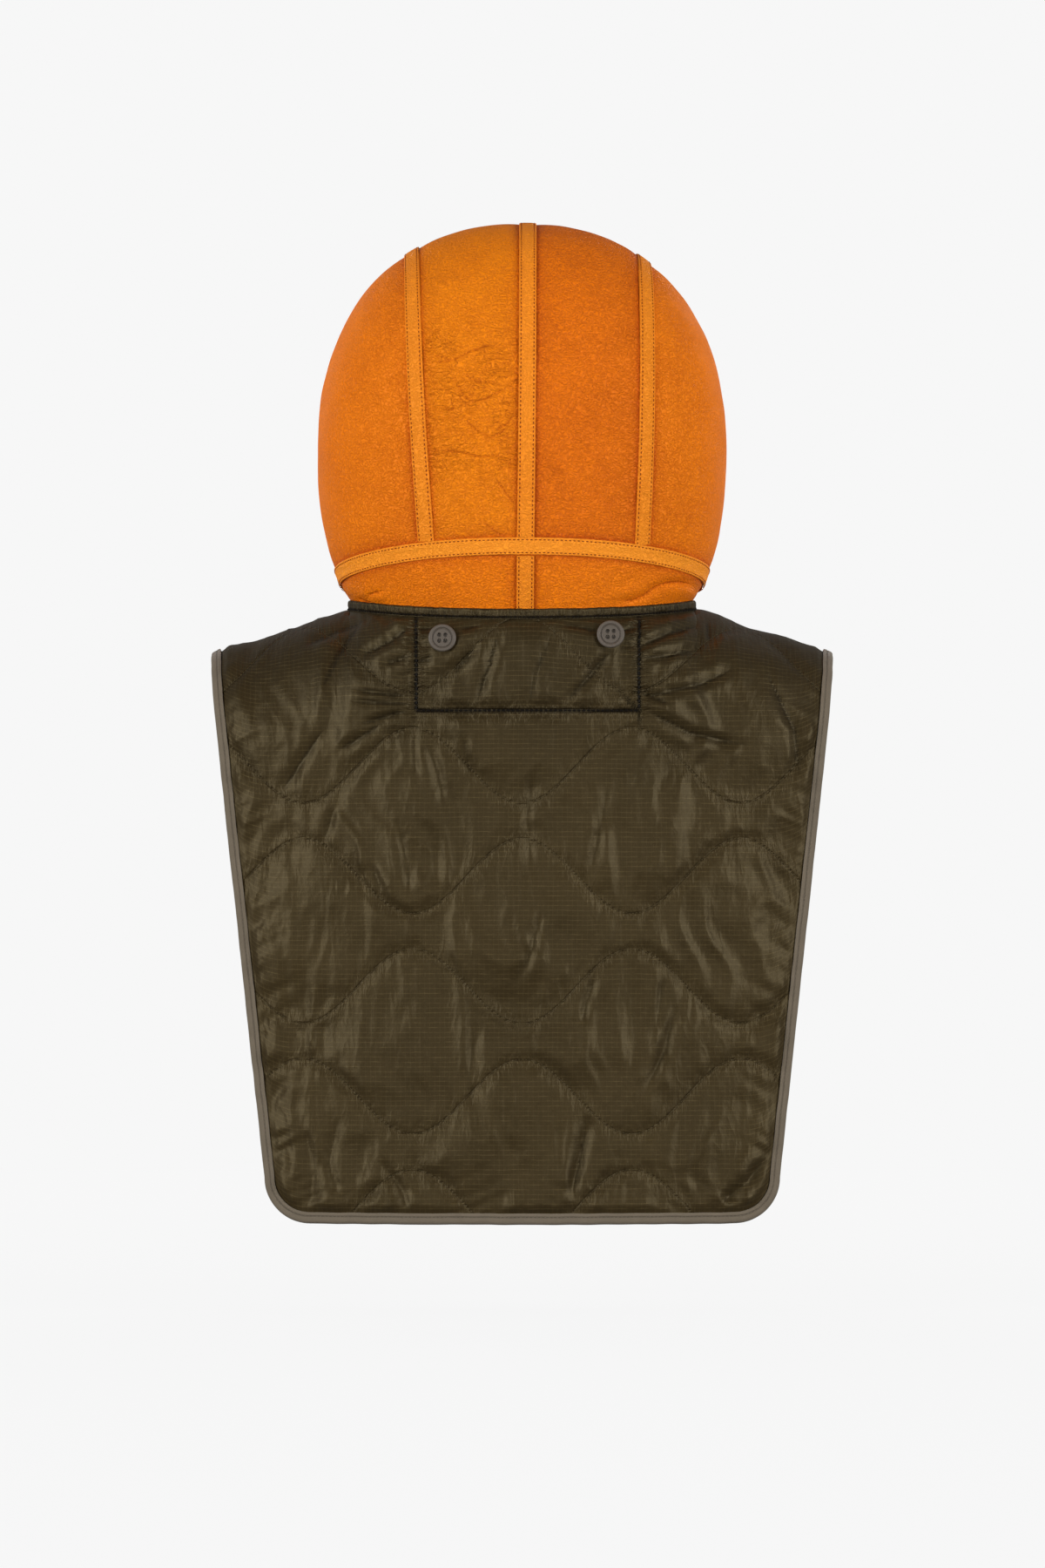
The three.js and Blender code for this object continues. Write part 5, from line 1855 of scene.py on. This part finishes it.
        return height + 2.4 * MM * gathers * np.exp(-border / (17 * MM)) * clear * hung

    def add_stitches(self, facing: Facing) -> None:
        """Adds the thread of the quilting and of the box, lying in its grooves."""
        rows = []
        for row in range(self.quilting.rows):
            places = np.linspace(-0.222, 0.222, 445)
            heights = self.quilting.height(row, places)
            inside = self.border_distance(places, heights) > 6 * MM
            inside &= heights < self.top_edge(places, facing) - 4 * MM
            for run in np.split(np.arange(len(places)), np.flatnonzero(np.diff(inside.astype(int))) + 1):
                if inside[run[0]] and len(run) > 4:
                    rows.append(self.on_face(places[run], heights[run], facing, 0.1 * MM))
        thread = Stitches(self.materials["quilting_thread"], "quilted_nylon")
        thread.add(f"quilting_stitches_{facing.label}", rows, 2.4 * MM, 0.66, 0.22 * MM)
        if facing is Facing.BACK:
            q = self.quilting
            down = np.linspace(-0.012, q.box_bottom, 60)
            across = np.linspace(q.box_left, q.box_right, 120)
            lines = [(np.full(down.shape, side), down) for side in (q.box_left, q.box_right)]
            lines.append((across, np.full(across.shape, q.box_bottom)))
            rows = [self.on_face(*line, facing, 0.35 * MM) for line in lines]
            black = Stitches(self.materials["black_thread"], "quilted_nylon")
            black.add("box_stitches", rows, 3.4 * MM, 0.82, 0.72 * MM)

    def bound_line(self, facing: Facing) -> Array:
        """X and height along a panel's bound edge: down the right side, round the hem and up the left."""
        top = float(zero_of(lambda z: z - self.top_edge(self.edge(z), facing), -0.09, 0.0))
        corner_z = self.corner_height()
        corner_x = float(self.edge(np.array(corner_z))) - self.corner
        side_z = np.linspace(top, corner_z, 170)
        angle = np.linspace(0, math.pi / 2, 24)[1:]
        right = np.concatenate([
            joined(self.edge(side_z), side_z),
            joined(corner_x + self.corner * np.cos(angle), corner_z - self.corner * np.sin(angle)),
        ])
        hem = joined(np.linspace(corner_x, -corner_x, 150)[1:-1], self.hem + self.binding_over)
        return np.concatenate([right, hem, right[::-1] * np.array([-1, 1])])

    def edge_frame(self, line: Array, facing: Facing) -> tuple[Array, Array, Array]:
        """Points of the middle surface along the bound edge, its normals, and the ways out of the cloth.

        The normals are the cross product of the surface's slopes, from small steps each way.
        """
        x, z = line.T
        step = 0.5 * MM
        slope_x = self.surface(x + step, z, facing) - self.surface(x - step, z, facing)
        slope_z = self.surface(x, z + step, facing) - self.surface(x, z - step, facing)
        normals = unit(np.cross(slope_x, slope_z))
        normals *= np.sign(normals @ self.outward(facing))[:, None]
        path = self.surface(x, z, facing)
        out = unit(np.cross(np.gradient(path, axis=0), normals))
        return path, normals, out * np.sign(np.median(out[:100, 0]))

    def add_binding(self, facing: Facing) -> None:
        """Adds the folded tape round a panel's sides and hem: a rounded section carried along the edge."""
        path, normals, outward = self.edge_frame(self.bound_line(facing), facing)
        length = run_length(path[None], 1)[0]
        profile = self.binding_profile()
        reach, height = profile[None, :, 0], profile[None, :, 1]
        spot = joined(length[:, None], reach, height)
        long = (9 * MM, 8 * MM, 8 * MM)
        short = (3.5 * MM, 8 * MM, 8 * MM)
        ripple = 1 + 0.13 * noise(spot, long, 51) + 0.06 * noise(spot, short, 53)
        out = reach + 0.18 * MM * noise(spot * np.array([1, 0, 0]), 12 * MM, 55)
        sections = path[:, None] + outward[:, None] * out[..., None]
        sections = sections + normals[:, None] * (height * ripple)[..., None]
        values = {"along": spot[..., 0].ravel(), "across": spot[..., 1].ravel()}
        name, slot, panel = f"binding_{facing.label}", "binding_tape", f"bib_{facing.label}"
        tape = make_piece(name, tube(sections, False), self.materials[slot], (name,), values)
        row = path - outward * BINDING_ROW + normals * 2.75 * MM
        thread = Stitches(self.materials[slot], slot)
        thread.add(f"binding_stitches_{facing.label}", [(row, normals)], 2.9 * MM, 0.66, 0.24 * MM)

    def binding_profile(self) -> Array:
        """Section of the folded tape, outward and across: a round fold, flat faces, and open inwards."""
        cover, over, half, wall = self.binding_cover, self.binding_over, 3.0 * MM, 0.7 * MM
        turn = np.linspace(math.pi / 2, -math.pi / 2, 13)
        fold = joined(over - 2.6 * MM + 2.6 * MM * np.cos(turn), half * np.sin(turn))
        flat = np.linspace(-cover, over - 3.2 * MM, 9)
        dip = 0.35 * MM * bell(flat + BINDING_ROW, 0.6 * MM)
        droop = 0.5 * MM * smooth_step(-4.2 * MM, -6.2 * MM, flat)
        upper = joined(flat, half - dip - droop)
        inner = np.array([[-cover, half - droop[0] - wall], [0.3 * MM, half - wall],
                          [0.3 * MM, -half + wall], [-cover, -half + droop[0] + wall]])
        lower = upper[::-1] * np.array([1, -1])
        return np.concatenate([upper, fold, lower, inner[::-1]])

    def add_neck_edge(self) -> None:
        """Adds the band of bib fabric round the neck: a rounded section round the hole, gathered."""
        azimuths = np.linspace(-math.pi, math.pi, 720, endpoint=False)
        seat = self.hole.point(azimuths, self.seat)
        turn = np.linspace(0, 2 * math.pi, 28, endpoint=False)
        squared = [np.sign(wave) * np.abs(wave) ** 0.55 for wave in (np.cos(turn), np.sin(turn))]
        inside, thick, high = 0.9 * MM, 4.2 * MM, self.below_edge + 0.8 * MM
        seam = self.below_edge - 0.8 * MM
        plan = self.hole.point(azimuths)
        normal = self.hole.normal(plan)
        spot = joined(run_length(seat[None], 1)[0][:, None], turn[None] * 2 * MM, 0)
        close, wide = (3.4 * MM, 5 * MM, 1), (9 * MM, 6 * MM, 1)
        gathers = 0.4 * MM * noise(spot, close, 61) + 0.3 * MM * noise(spot, wide, 63)
        out = inside + thick / 2 + (thick / 2) * squared[0][None] + gathers
        up = -high / 2 + (high / 2) * squared[1][None] + 0.5 * gathers
        rim = plan[:, None] + normal[:, None] * out[..., None]
        rim[..., 2] = seat[:, None, 2] + up
        # near, stored as box, paints a dark line along the seam row, partly the black thread's tone and
        # partly painted shade in the groove; pleats, stored as fold, paint shade in the gathers.
        near = np.abs(up + seam) + 0.5 * MM
        pleats = 0.7 * MM + 5 * MM * np.abs(noise(spot, (2.6 * MM, 9 * MM, 1), 65))
        values = {"wave": near + 1, "box": near, "along": spot[..., 0], "fold": pleats}
        values = {key: a.ravel() for key, a in values.items()}
        name, slot = "neck_edge", "quilted_nylon"
        fabric = spot[..., :2].reshape(-1, 2)
        piece = make_piece(name, tube(rim, True), self.materials[slot], (name,), values, fabric)
        line = plan + normal * (inside + thick + 0.35 * MM) - np.array([0, 0, seam])
        row = tuple(np.concatenate([open_line, open_line[:1]]) for open_line in (line, normal))
        black = Stitches(self.materials["black_thread"], slot)
        black.add("neck_edge_stitches", [row], 3.2 * MM, 0.8, 0.55 * MM)


def facing_up(grid: Array, faces: Array, normals: Array) -> Array:
    """Faces of an open grid, turned so that they face along its normals."""
    points = grid.reshape(-1, 3)
    cross = np.cross(points[faces[:, 1]] - points[faces[:, 0]], points[faces[:, 2]] - points[faces[:, 0]])
    same = np.sum(cross * normals.reshape(-1, 3)[faces[:, 0]]) > 0
    return faces if same else faces[:, ::-1]


@dataclass
class Button:
    """A four-hole coat button with a raised rim and a ring groove, sewn on with thread."""

    name: str
    radius: float = 10 * MM
    thick: float = 3.4 * MM
    rim: float = 2.6 * MM
    dish: float = 0.8 * MM
    hole: float = 1.3 * MM
    spacing: float = 4.3 * MM
    tilt: float = 9.0
    steps: int = 120

    def build(self, resin: bpy.types.Material, thread: bpy.types.Material) -> None:
        """Makes the button over the CAD one, and its thread.

        It is worked out flat, with its axis along Z, and then tilted with the cloth.

        Args:
            resin: the button's finish.
            thread: the thread's finish.
        """
        low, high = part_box(self.name)
        centre = np.array((low + high) / 2) - np.array([0, 0, NECKLINE_Z])
        angle = math.radians(self.tilt)
        normal = np.array([0, -math.cos(angle), math.sin(angle)])
        right = np.array([1.0, 0, 0])
        axes = np.stack([right, np.cross(normal, right), normal])
        start = centre - normal * self.thick / 2
        radii = np.concatenate([np.linspace(0, 4.2, 30), np.linspace(4.35, 10, 26)]) * MM
        flat = self.rings(radii[1:])
        face = joined(flat[..., 0], flat[..., 1], self.face_height(flat))
        flat = self.rings(np.array([9.9, 9.2, 7, 5, 2.5]) * MM)
        under_height = np.array([1.6, 0.9, 0.35, 0.0, 0.0]) * MM
        under = joined(flat[..., 0], flat[..., 1], under_height[:, None])
        vertices, faces = tube(np.concatenate([face, under]), False)
        # 1 inside the holes, where the resin's finish paints shade.
        hole_shade_values = {"pit": self.hole_share(vertices[:, :2]) * (vertices[:, 2] > 1 * MM)}
        make_piece(self.name, (vertices @ axes + start, faces), resin, (self.name,), hole_shade_values)
        half = self.spacing / 2
        rows = []
        for side in (-half, half):
            line = joined(side, np.linspace(-half, half, 9), self.thick - self.dish + 0.1 * MM)
            rows.append((line @ axes + start, np.repeat(normal[None], 9, 0)))
        doubled = Stitches(thread, "button_resin", 8)
        doubled.add(f"{self.name}_thread", rows, self.spacing * 0.8, 1.0, 0.26 * MM)

    def rings(self, radii: Array) -> Array:
        """X and Y of points round circles of some radii."""
        turn = np.linspace(0, 2 * math.pi, self.steps, endpoint=False)
        return joined(radii[:, None] * np.cos(turn), radii[:, None] * np.sin(turn))

    def face_height(self, flat: Array) -> Array:
        """Height of the button's face: a raised rim round a dish with a ring groove, and four deep holes."""
        r = np.linalg.norm(flat, axis=-1)
        edge = np.clip((r - self.radius + 1.1 * MM) / (1.1 * MM), 0, 1)
        height = self.thick - 1.5 * MM * (1 - np.sqrt(1 - edge ** 2))
        inner = self.radius - self.rim
        height -= self.dish * smooth_step(inner + 0.5 * MM, inner - 0.4 * MM, r)
        height -= 0.6 * MM * bell(r - 6.9 * MM, 0.42 * MM)
        return height - 1.8 * MM * self.hole_share(flat)

    def hole_share(self, flat: Array) -> Array:
        """1 inside the four holes, 0 outside, with a soft rim."""
        half = self.spacing / 2
        distance = np.hypot(np.abs(flat[..., 0]) - half, np.abs(flat[..., 1]) - half)
        return smooth_step(self.hole * 1.15, self.hole * 0.88, distance)


@dataclass
class Studio:
    """Pale floor, even pale surroundings and large soft lights."""

    pale: float = 0.930
    glow: float = 0.2
    floor_z: float = -0.78
    floor_radius: float = 14.0

    def build(self) -> None:
        """Makes the floor, the surroundings and the lights."""
        scene = bpy.context.scene
        scene.view_settings.view_transform = "Standard"
        scene.view_settings.look = "None"
        scene.world = bpy.data.worlds.new("surroundings")
        self.surround(scene.world)
        self.add_floor()
        self.add_light("key_left", (-3.1, -2.3, 0.25), (2.2, 2.8), 138)
        self.add_light("key_right", (3.2, -2.2, 0.2), (2.2, 2.8), 131)
        self.add_light("low_fill", (0.0, -4.4, -0.5), (3.0, 0.5), 28)
        self.add_light("front_fill", (0.0, 3.4, -0.52), (0.4, 0.4), 34)
        for x in (-1.8, 1.9):
            face = self.add_light("face_light", (x, 3.3, 0.6), (2.2, 2.2), 90)
            face.visible_glossy = False

    def surround(self, world: bpy.types.World) -> None:
        """Makes surroundings that show pale and light the object only a little."""
        g = Graph(world)
        shown = g.node("ShaderNodeBackground", {}, {"Color": grey(self.pale), "Strength": 1.0})
        light = g.node("ShaderNodeBackground", {}, {"Color": grey(1.0), "Strength": self.glow})
        camera = g.node("ShaderNodeLightPath", {}, {}, "Is Camera Ray")
        both = g.node("ShaderNodeMixShader", {}, {0: camera, 1: light, 2: shown})
        g.end(both, "ShaderNodeOutputWorld")

    def add_floor(self) -> None:
        """Adds a round floor as pale as the surroundings, which takes a faint shadow near its middle."""
        corners = 96
        turn = np.linspace(0, 2 * math.pi, corners, endpoint=False)
        vertices = joined(self.floor_radius * np.cos(turn), self.floor_radius * np.sin(turn), self.floor_z)
        mesh = bpy.data.meshes.new("floor")
        mesh.from_pydata(vertices, [], [tuple(range(corners))])
        material = bpy.data.materials.new("studio_floor")
        g = Graph(material)
        distance = g.node("ShaderNodeVectorMath", {"operation": "LENGTH"}, {0: g.place()}, "Value")
        far = ((distance - 0.75) / 1.6).clamp()
        glow = g.node("ShaderNodeEmission", {}, {"Color": grey(self.pale), "Strength": 1.0})
        matt = g.node("ShaderNodeBsdfDiffuse", {}, {"Color": grey(0.85)})
        g.end(g.node("ShaderNodeMixShader", {}, {0: 0.96 + far * 0.04, 1: matt, 2: glow}))
        mesh.materials.append(material)
        floor = bpy.data.objects.new("floor", mesh)
        floor.visible_diffuse = False
        floor.visible_glossy = False
        bpy.context.scene.collection.objects.link(floor)

    @staticmethod
    def add_light(name: str, place: tuple[float, float, float], size: tuple[float, float],
                  power: float) -> bpy.types.Object:
        """Adds a large soft light, of a width and height, aimed at the middle of the object."""
        data = bpy.data.lights.new(name, "AREA")
        data.shape = "RECTANGLE"
        data.size, data.size_y = size
        data.energy = power
        light = bpy.data.objects.new(name, data)
        light.location = place
        light.rotation_euler = (Vector((0, 0, -0.35)) - Vector(place)).to_track_quat("-Z", "Y").to_euler()
        bpy.context.scene.collection.objects.link(light)
        return light


def main() -> None:
    """Builds the studio, the hood, the bib and the buttons."""
    logging.basicConfig(level=logging.INFO, format="%(message)s")
    camera = Camera()
    camera.build()
    Studio().build()
    Hood(camera).build()
    Bib(camera).build()
    resin = Resin().build()
    thread = Plain("button_thread", (92, 84, 74), (80, 72, 63), 0.7).build()
    for side in Side:
        Button(f"button_{side.label}").build(resin, thread)


if __name__ == "__main__":
    main()
